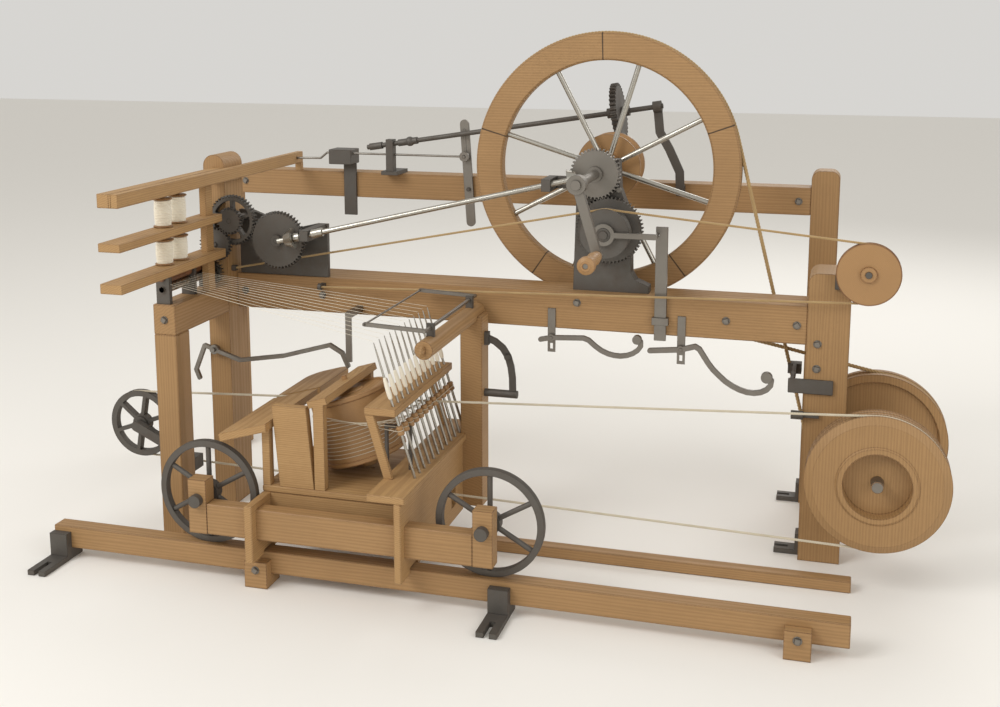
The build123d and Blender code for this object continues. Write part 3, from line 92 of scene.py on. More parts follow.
woodLooks = {
    # early wood, late wood, ring width in mm, roughness, grain axis
    "oakAlongX": ("#8a6742", "#4a3019", 9.0, 0.55, 0),
    "oakAlongY": ("#85623d", "#462d17", 9.0, 0.55, 1),
    "oakUpright": ("#826039", "#442b15", 9.0, 0.55, 2),
    "pineAlongX": ("#a98a5e", "#6e4f2c", 6.0, 0.6, 0),
    "pineAlongY": ("#a58558", "#6a4b29", 6.0, 0.6, 1),
    "beechTurned": ("#93683f", "#5d3c20", 4.0, 0.42, 1),
}
woodDetail = {
    "alongGrain": 0.045,  # along the grain the pattern changes this much slower
    "shift": (0.31, 0.23, 0.37),  # moves the rings' centre line off the machine's origin, in m
    "fibre": 1.3, "pore": 0.7, "patch": 170.0,  # spacings in mm
    "edge": 5.0, "relief": 0.6,  # width of the rubbed edges and depth of the surface in mm
    "handled": "#a78a6a", "poreFill": "#3c2410", "rubbed": "#c39a66",
}


def sawnWood(name):
    # oak or pine sawn along its grain, or beech turned on it: share of early wood =
    # 0.7 rings + 0.95 fibres - 0.34. The eye gets long rings, short fibres and pores, dark
    # handled patches and pale rubbed edges
    early, late, ring, rough, axis = woodLooks[name]
    material, tree, surface = newMaterial(name)
    place = addNode(tree, "TexCoord").outputs["Object"]
    stretch = [1.0, 1.0, 1.0]
    stretch[axis] = woodDetail["alongGrain"]
    shift = list(woodDetail["shift"])
    shift[axis] = 0.0
    board = addNode(tree, "Mapping", {0: place, 1: shift, 3: stretch}).outputs[0]
    rings = addNode(tree, "TexWave", {
        "Vector": board, "Scale": wavePeriod / (ring * mm), "Distortion": 5.5,
        "Detail": 3.0, "Detail Scale": 1.4,
    }, wave_type="RINGS", rings_direction="XYZ"[axis]).outputs["Fac"]
    fibre = addNode(tree, "TexNoise", {
        "Vector": board, "Scale": 1 / (woodDetail["fibre"] * mm), "Detail": 5.0, "Roughness": 0.62,
    }).outputs["Fac"]
    patch = addNode(tree, "TexNoise", {
        "Vector": place, "Scale": 1 / (woodDetail["patch"] * mm), "Detail": 4.0, "Roughness": 0.6,
    }).outputs["Fac"]
    pores = addNode(tree, "TexNoise", {
        "Vector": board, "Scale": 1 / (woodDetail["pore"] * mm), "Detail": 2.0,
    }).outputs["Fac"]
    grain = addNode(tree, "Math", {0: rings, 1: 0.7, 2: -0.34}, operation="MULTIPLY_ADD").outputs[0]
    grain = addNode(
        tree, "Math", {0: fibre, 1: 0.95, 2: grain}, operation="MULTIPLY_ADD"
    ).outputs[0]
    colour = addNode(tree, "Mix", {
        0: grain, 6: linearColour(late), 7: linearColour(early),
    }, data_type="RGBA").outputs[2]
    worn = addNode(tree, "MapRange", {0: patch, 1: 0.38, 2: 0.72, 3: 0.0, 4: 0.55}).outputs[0]
    colour = addNode(tree, "Mix", {
        0: worn, 6: colour, 7: linearColour(woodDetail["handled"]),
    }, data_type="RGBA", blend_type="MULTIPLY").outputs[2]
    poreMask = addNode(tree, "MapRange", {0: pores, 1: 0.62, 2: 0.7, 3: 0.0, 4: 0.6}).outputs[0]
    colour = addNode(tree, "Mix", {
        0: poreMask, 6: colour, 7: linearColour(woodDetail["poreFill"]),
    }, data_type="RGBA").outputs[2]
    edge = edgeMask(tree, woodDetail["edge"], 0.86, 0.99)
    edge = addNode(tree, "Math", {0: edge, 1: 0.5}, operation="MULTIPLY").outputs[0]
    colour = addNode(tree, "Mix", {
        0: edge, 6: colour, 7: linearColour(woodDetail["rubbed"]),
    }, data_type="RGBA").outputs[2]
    height = addNode(tree, "Math", {0: fibre, 1: 0.6}, operation="MULTIPLY").outputs[0]
    height = addNode(
        tree, "Math", {0: poreMask, 1: -1.2, 2: height}, operation="MULTIPLY_ADD"
    ).outputs[0]
    bump = addNode(tree, "Bump", {
        "Height": height, "Distance": woodDetail["relief"] * mm, "Strength": 0.55,
    }).outputs[0]
    shine = addNode(
        tree, "MapRange", {0: grain, 1: 0.0, 2: 1.0, 3: rough + 0.15, 4: rough - 0.08}
    ).outputs[0]
    tree.links.new(colour, surface.inputs["Base Color"])
    tree.links.new(shine, surface.inputs["Roughness"])
    tree.links.new(bump, surface.inputs["Normal"])
    return material


ironLooks = {
    # base, rust or oil tint, worn edge, metallic, roughness, grain of the surface in mm
    "castIron": ("#33312f", "#4b3526", "#7d7871", 0.75, 0.6, 1.6),
    "forgedIron": ("#56534f", "#4d3b2e", "#a39d94", 0.95, 0.42, 6.0),
    "turnedSteel": ("#8b8880", "#6a5a49", "#c6c2b8", 1.0, 0.28, 0.9),
}
ironDetail = {"patch": 45.0, "edge": 2.5, "relief": 0.35}  # in mm


def blackIron(name):
    # cast or forged iron, or turned steel: tint where the patches' noise is high, bright where
    # the edge mask is. The eye gets pitted skin, brown oil in patches and rubbed edges
    base, tint, bright, metallic, rough, pit = ironLooks[name]
    material, tree, surface = newMaterial(name)
    place = addNode(tree, "TexCoord").outputs["Object"]
    skin = addNode(tree, "TexNoise", {
        "Vector": place, "Scale": 1 / (pit * mm), "Detail": 4.0, "Roughness": 0.6,
    }).outputs["Fac"]
    patch = addNode(tree, "TexNoise", {
        "Vector": place, "Scale": 1 / (ironDetail["patch"] * mm), "Detail": 5.0, "Roughness": 0.65,
    }).outputs["Fac"]
    oiled = addNode(tree, "MapRange", {0: patch, 1: 0.45, 2: 0.75, 3: 0.0, 4: 0.8}).outputs[0]
    colour = addNode(tree, "Mix", {
        0: oiled, 6: linearColour(base), 7: linearColour(tint),
    }, data_type="RGBA").outputs[2]
    edge = edgeMask(tree, ironDetail["edge"], 0.84, 0.985)
    edge = addNode(tree, "Math", {0: edge, 1: 0.6}, operation="MULTIPLY").outputs[0]
    colour = addNode(tree, "Mix", {
        0: edge, 6: colour, 7: linearColour(bright),
    }, data_type="RGBA").outputs[2]
    dull = addNode(
        tree, "MapRange", {0: patch, 1: 0.3, 2: 0.8, 3: rough - 0.08, 4: rough + 0.2}
    ).outputs[0]
    bump = addNode(tree, "Bump", {
        "Height": skin, "Distance": ironDetail["relief"] * mm, "Strength": 0.4,
    }).outputs[0]
    tree.links.new(colour, surface.inputs["Base Color"])
    tree.links.new(dull, surface.inputs["Roughness"])
    tree.links.new(bump, surface.inputs["Normal"])
    surface.inputs["Metallic"].default_value = metallic
    return material


fibreLooks = {
    # lit colour, shadow colour, fibre width in mm, roughness
    "hempRope": ("#c2a36d", "#7b5c32", 0.7, 0.85),
    "cottonBand": ("#ddd3bc", "#a3957a", 0.6, 0.85),
    "cottonRoving": ("#f1ebdc", "#cfc3a8", 0.9, 0.9),
    "cottonYarn": ("#efe8d8", "#c9bea5", 0.5, 0.85),
}
fibreDetail = {"patch": 60.0, "relief": 0.4, "sheen": 0.3, "sheenRoughness": 0.6}  # sizes in mm


def spunFibre(name):
    # laid hemp or spun cotton: share of the lit colour = 0.7 fibres + 0.5 patches. The eye gets
    # fine fibres, soft edge light and no shine. Fibres are drawn coarser than real, to show
    lit, shadow, width, rough = fibreLooks[name]
    material, tree, surface = newMaterial(name)
    place = addNode(tree, "TexCoord").outputs["Object"]
    fibre = addNode(tree, "TexNoise", {
        "Vector": place, "Scale": 1 / (width * mm), "Detail": 4.0, "Roughness": 0.7,
    }).outputs["Fac"]
    patch = addNode(tree, "TexNoise", {
        "Vector": place, "Scale": 1 / (fibreDetail["patch"] * mm), "Detail": 3.0,
    }).outputs["Fac"]
    share = addNode(tree, "Math", {0: fibre, 1: 0.7}, operation="MULTIPLY").outputs[0]
    share = addNode(tree, "Math", {0: patch, 1: 0.5, 2: share}, operation="MULTIPLY_ADD").outputs[0]
    colour = addNode(tree, "Mix", {
        0: share, 6: linearColour(shadow), 7: linearColour(lit),
    }, data_type="RGBA").outputs[2]
    bump = addNode(tree, "Bump", {
        "Height": fibre, "Distance": fibreDetail["relief"] * mm, "Strength": 0.6,
    }).outputs[0]
    tree.links.new(colour, surface.inputs["Base Color"])
    tree.links.new(bump, surface.inputs["Normal"])
    surface.inputs["Roughness"].default_value = rough
    surface.inputs["Sheen Weight"].default_value = fibreDetail["sheen"]
    surface.inputs["Sheen Roughness"].default_value = fibreDetail["sheenRoughness"]
    return material


leather = {
    "pore": 1.4, "patch": 25.0, "relief": 0.2,  # in mm
    "dark": "#4c2d18", "light": "#8a5b37", "roughness": 0.5,
}


def rollerLeather():
    # smooth calf glued round the top roller: pores are cells, colour follows patches. The eye
    # gets fine pores, and darker leather where the fibres run
    material, tree, surface = newMaterial("rollerLeather")
    place = addNode(tree, "TexCoord").outputs["Object"]
    pores = addNode(
        tree, "TexVoronoi", {"Vector": place, "Scale": 1 / (leather["pore"] * mm)}
    ).outputs["Distance"]
    patch = addNode(tree, "TexNoise", {
        "Vector": place, "Scale": 1 / (leather["patch"] * mm), "Detail": 3.0,
    }).outputs["Fac"]
    colour = addNode(tree, "Mix", {
        0: patch, 6: linearColour(leather["dark"]), 7: linearColour(leather["light"]),
    }, data_type="RGBA").outputs[2]
    bump = addNode(tree, "Bump", {
        "Height": pores, "Distance": leather["relief"] * mm, "Strength": 0.4,
    }).outputs[0]
    tree.links.new(colour, surface.inputs["Base Color"])
    tree.links.new(bump, surface.inputs["Normal"])
    surface.inputs["Roughness"].default_value = leather["roughness"]
    return material


wheelCentre = (266.0, 303.0, 1229.0)
felloes = {"count": 5, "first": 56, "dark": "#20140a", "outer": 0.0055, "inner": 0.0035}


def felloeWood(name):
    # the wheel's rim of sawn felloes: the same oak, dark where
    # fract(count * (angle - first) / 360) is within a few thousandths of a half
    material = sawnWood("oakAlongX").copy()
    material.name = name
    tree = material.node_tree
    surface = next(n for n in tree.nodes if n.bl_idname == "ShaderNodeBsdfPrincipled")
    base = surface.inputs["Base Color"].links[0].from_socket
    place = addNode(tree, "TexCoord").outputs["Object"]
    centre = [c * mm for c in wheelCentre]
    local = addNode(tree, "VectorMath", {0: place, 1: centre}, operation="SUBTRACT").outputs[0]
    split = addNode(tree, "SeparateXYZ", {0: local}).outputs
    angle = addNode(tree, "Math", {0: split[2], 1: split[0]}, operation="ARCTAN2").outputs[0]
    part = addNode(tree, "Math", {
        0: angle, 1: felloes["count"] / tau, 2: 10.0 - felloes["first"] * felloes["count"] / 360,
    }, operation="MULTIPLY_ADD").outputs[0]
    part = addNode(tree, "Math", {0: part}, operation="FRACT").outputs[0]
    away = addNode(tree, "Math", {0: part, 1: 0.5}, operation="SUBTRACT").outputs[0]
    away = addNode(tree, "Math", {0: away}, operation="ABSOLUTE").outputs[0]
    joint = addNode(tree, "MapRange", {
        0: away, 1: felloes["outer"], 2: felloes["inner"], 3: 0.0, 4: 0.85,
    }).outputs[0]
    colour = addNode(tree, "Mix", {
        0: joint, 6: base, 7: linearColour(felloes["dark"]),
    }, data_type="RGBA").outputs[2]
    tree.links.new(colour, surface.inputs["Base Color"])
    return material


looks = {name: sawnWood(name) for name in woodLooks}
looks.update({name: blackIron(name) for name in ironLooks})
looks.update({name: spunFibre(name) for name in fibreLooks})
looks["rollerLeather"] = rollerLeather()
looks["felloes"] = felloeWood("felloes")
print("materials ready")

# which CAD pieces take which material
nodeLooks = {
    "oakAlongX": "front_floor_rail back_floor_rail rail_blocks front_rail back_rail carriage_beams",
    "oakUpright": "left_posts right_posts twin_pulleys",
    "oakAlongY": "roller_beam carriage_post",
    "pineAlongY": "creel_frame carriage_sides shelf_board spindle_rails",
    "pineAlongX": "carriage_boards",
    "beechTurned": "wheel_hub crank_handle draw_pulley tin_drum bobbins",
    "felloes": "wheel_rim",
    "castIron": "iron_feet wheel_stand roller_stands gear_stand pulley_brackets back_rail_irons "
    "crown_wheel spoked_wheel idler_gear draw_drum left_pulley track_wheel_left "
    "track_wheel_right rear_roller_left rear_roller_right carriage_irons tappet_shaft",
    "forgedIron": "frame_bolts crank_arm clutch_lever lift_rod scroll_lever_left "
    "scroll_lever_right left_lever slotted_lever wire_link faller lever_hangers wheel_axle",
    "turnedSteel": "inclined_shaft wheel_spokes spindles lower_roller",
    "rollerLeather": "upper_roller",
    "hempRope": "rim_rope draw_cord",
    "cottonBand": "spindle_band",
    "cottonYarn": "yarns",
}
for look, names in nodeLooks.items():
    for name in names.split():
        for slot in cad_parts[name].material_slots:
            slot.link = "OBJECT"
            slot.material = looks[look]
print("CAD pieces painted")


def gridFaces(rows, columns, closeRows=False, closeColumns=False):
    # quads between neighbouring points of a rows x columns grid
    r = np.arange(rows if closeRows else rows - 1)
    c = np.arange(columns if closeColumns else columns - 1)
    r, c = (a.ravel() for a in np.meshgrid(r, c, indexing="ij"))
    r2, c2 = (r + 1) % rows, (c + 1) % columns
    corners = [r * columns + c, r * columns + c2, r2 * columns + c2, r2 * columns + c]
    return np.stack(corners, axis=1).tolist()


def joined(shapes):
    # several shapes as one: each shape's faces count on from the points before it
    points, faces, base = [], [], 0
    for shapePoints, shapeFaces in shapes:
        points.append(shapePoints)
        faces += [[i + base for i in face] for face in shapeFaces]
        base += len(shapePoints)
    return np.concatenate(points), faces


def addPiece(name, shape, look, body, stands=(), crease=35.0):
    # a shape as a smooth piece, sharp where faces meet at more than the crease angle
    points, faces = shape
    mesh = bpy.data.meshes.new(name)
    mesh.from_pydata((np.asarray(points) * mm).tolist(), [], faces)
    mesh.validate()
    mesh.polygons.foreach_set("use_smooth", np.ones(len(mesh.polygons), dtype=bool))
    mesh.set_sharp_from_angle(angle=radians(crease))
    mesh.materials.append(looks[look])
    piece = bpy.data.objects.new(name, mesh)
    bpy.context.scene.collection.objects.link(piece)
    if body:
        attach(piece, body)
    if stands:
        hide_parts(*stands)
    return piece


def axisFrame(axis):
    # two unit vectors square to the axis, right-handed with it
    a = np.asarray(axis, float) / np.linalg.norm(axis)
    side = np.cross([0.0, 1.0, 0.0], a)
    if np.linalg.norm(side) < 0.01:
        side = np.array([1.0, 0.0, 0.0])
    side /= np.linalg.norm(side)
    return a, side, np.cross(a, side)


def turnedShape(profile, origin, axis, segments, cut=None):
    # point(i, t) = origin + axis * h_i + r_i * (side cos t + other sin t), for a profile of
    # (r, h); cut(r, t) may change r. The faces come out pointing inwards, here and in
    # tubeShape: a known fault, since the list of faces ought not to be reversed at the end
    a, side, other = axisFrame(axis)
    profile = np.asarray(profile, float)
    t = np.linspace(0, tau, segments, endpoint=False)
    r = np.repeat(profile[:, :1], segments, axis=1)
    if cut is not None:
        r = cut(r, t[None, :])
    ring = np.cos(t)[None, :, None] * side + np.sin(t)[None, :, None] * other
    points = np.asarray(origin) + profile[:, 1][:, None, None] * a + r[:, :, None] * ring
    points = points.reshape(-1, 3)
    faces = gridFaces(len(profile), segments, closeColumns=True)
    last = len(profile) - 1
    if profile[0, 0] > 1e-6:
        faces.append(list(range(segments))[::-1])
    if profile[last, 0] > 1e-6:
        faces.append([last * segments + i for i in range(segments)])
    return points, [face[::-1] for face in faces]


def pathFrame(path, closed, up):
    # two unit vectors square to the path at each point: n = up less its part along the path,
    # and b = direction of the path x n
    ahead = np.roll(path, -1, axis=0) - np.roll(path, 1, axis=0)
    if not closed:
        ahead[0], ahead[-1] = path[1] - path[0], path[-1] - path[-2]
    ahead /= np.linalg.norm(ahead, axis=1, keepdims=True)
    up = np.asarray(up, float)
    n = up - ahead * (ahead @ up)[:, None]
    n /= np.linalg.norm(n, axis=1, keepdims=True)
    return n, np.cross(ahead, n)


def tubeShape(path, radius, sides, closed=False, up=(0.0, 1.0, 0.0)):
    # point(i, t) = path_i + radius * (n_i cos t + b_i sin t)
    path = np.asarray(path, float)
    n, b = pathFrame(path, closed, up)
    t = np.linspace(0, tau, sides, endpoint=False)
    ring = n[:, None, :] * np.cos(t)[None, :, None] + b[:, None, :] * np.sin(t)[None, :, None]
    points = (path[:, None, :] + radius * ring).reshape(-1, 3)
    faces = gridFaces(len(path), sides, closeRows=closed, closeColumns=True)
    if not closed:
        faces.append(list(range(sides))[::-1])
        faces.append([(len(path) - 1) * sides + i for i in range(sides)])
    return points, [face[::-1] for face in faces]


def evenPath(points, step, closed=False):
    # the same line with points at even distances along it, and its length
    points = np.asarray(points, float)
    if closed:
        points = np.vstack([points, points[:1]])
    runs = np.linalg.norm(np.diff(points, axis=0), axis=1)
    along = np.concatenate([[0.0], np.cumsum(runs)])
    count = max(4, int(round(along[-1] / step)))
    at = np.linspace(0, along[-1], count, endpoint=not closed)
    return np.stack([np.interp(at, along, points[:, k]) for k in range(3)], axis=1), along[-1]


strandShare = {2: 0.5, 3: 0.464}  # a strand's radius to the rope's, for strands that just touch
strandPress = 1.06  # laid strands press into each other


def laidRope(points, rope, closed=False):
    # strands wound round the line: centre_k(s) = line(s) + c (n cos w + b sin w), with
    # w = 2 pi (s / lay + k / strands)
    path, length = evenPath(points, rope["step"], closed)
    n, b = pathFrame(path, closed, (0.0, 1.0, 0.0))
    turns = max(1, round(length / rope["lay"]))
    s = np.linspace(0, 1, len(path), endpoint=not closed)
    thick = rope["radius"] * strandShare[rope["strands"]]
    shapes = []
    for k in range(rope["strands"]):
        w = tau * (turns * s + k / rope["strands"])
        swing = n * np.cos(w)[:, None] + b * np.sin(w)[:, None]
        centre = path + (rope["radius"] - thick) * swing
        shapes.append(tubeShape(centre, thick * strandPress, rope["sides"], closed))
    return joined(shapes)


arcStep = 3.0  # degrees between points on a pulley


def arc(ring, y, first, last):
    # points on an upright ring (x, z, radius) from one angle up from +X to another
    x, z, reach = ring
    t = np.radians(np.linspace(first, last, max(2, int(abs(last - first) / arcStep))))
    return np.stack([x + reach * np.cos(t), np.full(len(t), y), z + reach * np.sin(t)], axis=1)


def tangentTurn(first, second, crossed=False):
    # angle of the line between two rings' centres, and the half angle of their tangents:
    # acos((r1 - r2) / distance), with + for a crossed rope
    dx, dz = second[0] - first[0], second[1] - first[1]
    other = -second[2] if crossed else second[2]
    return degrees(atan2(dz, dx)), degrees(acos((first[2] - other) / hypot(dx, dz)))


# x and z of the pulleys' centres; the draw drum's gear meshes with the wheel's
wheelSpot = (wheelCentre[0], wheelCentre[2])
twinPulley = (1179.0, 362.0)
leftPulley = (-1286.0, 330.0)
drawPulley = (1128.0, 958.0)
drumGear = {"reach": 188.0, "aside": 48.0}  # gears' centre distance, and its sideways part
drawDrum = (
    wheelSpot[0] + drumGear["aside"],
    wheelSpot[1] - sqrt(drumGear["reach"]**2 - drumGear["aside"]**2),
)

rimRope = {
    "radius": 6.5, "lay": 34.0, "strands": 3, "step": 4.2, "sides": 7,
    "wheelReach": 450.0, "pulleyReach": 218.5,  # radii that its middle runs on
    "crossNear": 60.0, "crossSpread": 120.0,  # how close the crossing is, and how far it bends
}
wheelRing = (*wheelSpot, rimRope["wheelReach"])
backRing = (*twinPulley, rimRope["pulleyReach"])
bearing, half = tangentTurn(wheelRing, backRing, crossed=True)
loop = np.concatenate([
    arc(wheelRing, wheelCentre[1], bearing + half, bearing - half + 360),
    arc(backRing, wheelCentre[1], bearing - half + 180, bearing + half - 180),
])
path, _ = evenPath(loop, 4.0, closed=True)
# where the two runs cross, one passes in front of the other by a rope's width:
# y moves by 1.03 radius * exp(-(distance / spread)^2), back on one run, forward on the other
share = wheelRing[2] / (wheelRing[2] + backRing[2])
crossing = np.array(wheelSpot) + (np.array(twinPulley) - np.array(wheelSpot)) * share
away = np.hypot(path[:, 0] - crossing[0], path[:, 2] - crossing[1])
order = np.arange(len(path)) / len(path)
firstRun = np.argmax(away < rimRope["crossNear"]) / len(path)
side = np.where(order < firstRun + 0.06, 1.0, -1.0)
bend = np.exp(-((away / rimRope["crossSpread"]) ** 2))
path[:, 1] += side * (rimRope["radius"] * 1.03) * bend
addPiece("rimRopeLaid", laidRope(path, rimRope, True), "hempRope", "frame", ("rim_rope",))

spindleBand = {
    "radius": 4.0, "lay": 22.0, "strands": 3, "step": 3.6, "sides": 6,
    "y": -125.0, "leftReach": 113.0, "rightReach": 208.0,
}
leftRing = (*leftPulley, spindleBand["leftReach"])
frontRing = (*twinPulley, spindleBand["rightReach"])
bearing, half = tangentTurn(leftRing, frontRing)
loop = np.concatenate([
    arc(leftRing, spindleBand["y"], bearing + half, bearing - half + 360),
    arc(frontRing, spindleBand["y"], bearing - half, bearing + half),
])
band = laidRope(loop, spindleBand, True)
addPiece("spindleBandLaid", band, "cottonBand", "frame", ("spindle_band",))

drawCord = {
    "radius": 4.0, "lay": 20.0, "strands": 3, "step": 3.2, "sides": 6,
    "y": 60.0, "drumReach": 76.5, "pulleyReach": 92.0,
    "start": (-1006.0, 862.0), "end": (-684.0, 812.0),  # x and z of its two fixings
}
cordY = drawCord["y"]
startRing, endRing = (*drawCord["start"], 0.0), (*drawCord["end"], 0.0)
drumRing = (*drawDrum, drawCord["drumReach"])
cordRing = (*drawPulley, drawCord["pulleyReach"])
toDrum, halfToDrum = tangentTurn(startRing, drumRing)
toPulley, halfToPulley = tangentTurn(drumRing, cordRing)
toEnd, halfToEnd = tangentTurn(cordRing, endRing)
cordPath = np.concatenate([
    [[startRing[0], cordY, startRing[1]]],
    arc(drumRing, cordY, toDrum + halfToDrum, toPulley + halfToPulley),
    arc(cordRing, cordY, toPulley + halfToPulley, (toEnd + halfToEnd) % 360 - 360),
    [[endRing[0], cordY, endRing[1]]],
])
addPiece("drawCordLaid", laidRope(cordPath, drawCord), "hempRope", "frame", ("draw_cord",))
print("ropes laid")

spindles = {
    "count": 12, "pitch": 44.0, "firstY": -455.0, "footX": -158.0, "footZ": 362.0,
    "length": 430.0, "lean": 17.0,
}
lean = radians(spindles["lean"])
spindleWay = np.array([-sin(lean), 0.0, cos(lean)])
acrossWay = np.array([cos(lean), 0.0, sin(lean)])
spindleFeet = np.stack([
    np.full(spindles["count"], spindles["footX"]),
    spindles["firstY"] + spindles["pitch"] * np.arange(spindles["count"]),
    np.full(spindles["count"], spindles["footZ"]),
], axis=1)

# profiles of one spindle: radius, height above its footstep
rodProfile = [
    (0, -5.5), (3.0, -5.5), (4.5, 2), (4.5, 150), (4.2, 200), (3.6, 330), (2.4, 400), (1.4, 428),
    (0, 430),
]
whorlProfile = [
    (4.5, 136), (9, 137), (11, 140), (11, 144), (8.8, 148), (8.8, 154), (11, 158), (11, 162),
    (9, 165), (4.5, 166),
]
collarProfile = [(4.6, 196), (8, 197), (9, 200), (9, 207), (8, 210), (4.6, 211)]
# the first layers of yarn on a bare spindle: a thin cop, widest low down, ridged by its turns
cop = {"low": 252, "high": 318, "swell": 3.6, "least": 3.9, "ridge": 0.25, "rows": 88}
copHeights = np.linspace(cop["low"], cop["high"], cop["rows"])
rise = np.clip((copHeights - (cop["low"] - 2)) / 72, 0, 1)
copReach = cop["swell"] * np.sin(rise ** 0.6 * pi) ** 0.7 + cop["least"]
copReach += cop["ridge"] * np.sin(np.arange(cop["rows"]) * pi / 2)
copProfile = [(3.6, cop["low"] - 2)] + list(zip(copReach, copHeights)) + [(3.0, cop["high"] + 2)]

for name, profile, segments, look, stands in (
    ("spindleRods", rodProfile, 14, "turnedSteel", ("spindles",)),
    ("spindleWhorls", whorlProfile, 24, "beechTurned", ()),
    ("spindleCollars", collarProfile, 18, "forgedIron", ()),
    ("cops", copProfile, 16, "cottonRoving", ()),
):
    shapes = [turnedShape(profile, foot, spindleWay, segments) for foot in spindleFeet]
    addPiece(name, joined(shapes), look, "carriage", stands)

drum = {
    "centre": (-420.0, -259.5, 452.0), "radius": 130.0, "half": 107.5,
    "staves": 16, "seam": 0.9,  # number of staves, and depth of the seam between two
}
drumRadius, drumHalf = drum["radius"], drum["half"]


def staved(r, t):
    # a shallow seam in the drum's skin wherever cos(staves * t) is near 1
    return r - np.where(r > 100, drum["seam"] * (np.cos(t * drum["staves"]) > 0.93), 0)


drumProfile = [
    (0, -drumHalf - 38), (9, -drumHalf - 38), (9, -drumHalf), (60, -drumHalf),
    (drumRadius - 14, -drumHalf), (drumRadius - 3, -drumHalf), (drumRadius, -drumHalf + 3),
    (drumRadius, -drumHalf + 14), (drumRadius - 2.5, -drumHalf + 16),
    (drumRadius - 1.6, -30), (drumRadius - 1.2, 0), (drumRadius - 1.6, 30),
    (drumRadius - 2.5, drumHalf - 16), (drumRadius, drumHalf - 14), (drumRadius, drumHalf - 3),
    (drumRadius - 3, drumHalf), (drumRadius - 14, drumHalf), (drumRadius - 17, drumHalf - 4),
    (50, drumHalf - 4), (44, drumHalf), (14, drumHalf + 4),
    (9, drumHalf + 6), (9, drumHalf + 50), (0, drumHalf + 50),
]
drumShape = turnedShape(drumProfile, drum["centre"], spindleWay, 96, staved)
addPiece("staveDrum", drumShape, "beechTurned", "tin", ("tin_drum",), crease=25.0)

# each spindle's driving cord: round the drum, straight to the whorl, round it and back
drivingCord = {
    "radius": 1.1, "sides": 5,
    "groove": 151.0, "whorlReach": 10.4,  # the whorl's groove above the foot, and its radius
    "drumReach": drumRadius + 1.2, "top": 62, "pitch": 12.5,  # heights of the turns on the drum
    "drumPoints": 72, "whorlPoints": 14,
}
drumCentre = np.array(drum["centre"])
cordShapes = []
for index, foot in enumerate(spindleFeet):
    offset = foot + spindleWay * drivingCord["groove"] - drumCentre
    spot = np.array([offset @ acrossWay, offset[1]])
    drumRise = drivingCord["top"] - index * drivingCord["pitch"]
    bearing = atan2(spot[1], spot[0])
    spread = acos((drivingCord["drumReach"] - drivingCord["whorlReach"]) / np.hypot(*spot))
    drumTurn = np.linspace(bearing + spread, bearing + tau - spread, drivingCord["drumPoints"])
    whorlTurn = np.linspace(bearing - spread, bearing + spread, drivingCord["whorlPoints"])
    flat = np.concatenate([
        np.stack([np.cos(drumTurn), np.sin(drumTurn)], 1) * drivingCord["drumReach"],
        spot + np.stack([np.cos(whorlTurn), np.sin(whorlTurn)], 1) * drivingCord["whorlReach"],
    ])
    heights = np.repeat([drumRise, offset @ spindleWay], [len(drumTurn), len(whorlTurn)])
    line = drumCentre + flat[:, :1] * acrossWay + heights[:, None] * spindleWay
    line[:, 1] += flat[:, 1]
    cordShapes.append(
        tubeShape(line, drivingCord["radius"], drivingCord["sides"], True, up=tuple(spindleWay))
    )
addPiece("spindleCords", joined(cordShapes), "cottonBand", "carriage")

yarn = {
    "radius": 0.9, "lay": 12.0, "strands": 2, "step": 6.0, "sides": 5,
    "rollerX": -1035.0, "rollerZ": 878.0, "firstY": -322.0, "pitch": 18.4,
    "offTip": (-1.0, 0.0, 3.0),  # where it leaves the spindle's point
}
yarnShapes = []
for index, tip in enumerate(spindleFeet + spindleWay * spindles["length"]):
    start = np.array([yarn["rollerX"], yarn["firstY"] + yarn["pitch"] * index, yarn["rollerZ"]])
    end = tip + np.array(yarn["offTip"])
    share = np.linspace(0, 1, 60)[:, None]
    yarnShapes.append(laidRope(start + (end - start) * share, yarn))
yarnPiece = addPiece("yarnsDrawn", joined(yarnShapes), "cottonYarn", None, ("yarns",))
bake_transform(yarnPiece)
print("spindles, drum and yarns made")

# the creel's bobbins: a turned spool on a skewer, wound with roving in ridges
bobbins = {
    "x": -1038.0, "ys": (-345.0, -255.0),
    "levels": ((1070.0, 1176.0), (948.0, 1044.0)),  # foot and head of the skewers in each row
    "skewer": 3.5, "winding": 25.0, "belly": 2.2, "ridge": 1.1, "ridgePitch": 5.2,
}
upward = (0, 0, 1)
woodShapes, rovingShapes = [], []
for low, high in bobbins["levels"]:
    for y in bobbins["ys"]:
        base = (bobbins["x"], y, low)
        tall = high - low
        top = tall - 12
        skewer = [(0, 0.6), (bobbins["skewer"], 0.6), (bobbins["skewer"], tall - 1), (0, tall - 1)]
        spool = [
            (4, 0.8), (27, 0.8), (30, 2.0), (31, 3.5), (30, 5.4), (20, 6.8), (15, 8), (15, top - 8),
            (20, top - 6.6), (30, top - 5.2), (31, top - 3.2), (30, top - 1.2), (27, top),
            (9, top), (7, top + 3), (4, top + 3),
        ]
        woodShapes.append(turnedShape(skewer, base, upward, 12))
        woodShapes.append(turnedShape(spool, base, upward, 40))
        wound = np.linspace(7.5, top - 7.5, 120)
        swell = bobbins["winding"] + bobbins["belly"] * np.sin((wound - 7.5) / (top - 15) * pi)
        swell += bobbins["ridge"] * np.sin(wound * tau / bobbins["ridgePitch"])
        roving = [(15.2, 7.0)] + list(zip(swell, wound)) + [(15.2, top - 7.0)]
        rovingShapes.append(turnedShape(roving, base, upward, 36))
addPiece("bobbinSpools", joined(woodShapes), "beechTurned", "frame", ("bobbins",))
addPiece("bobbinRovings", joined(rovingShapes), "cottonRoving", "frame")

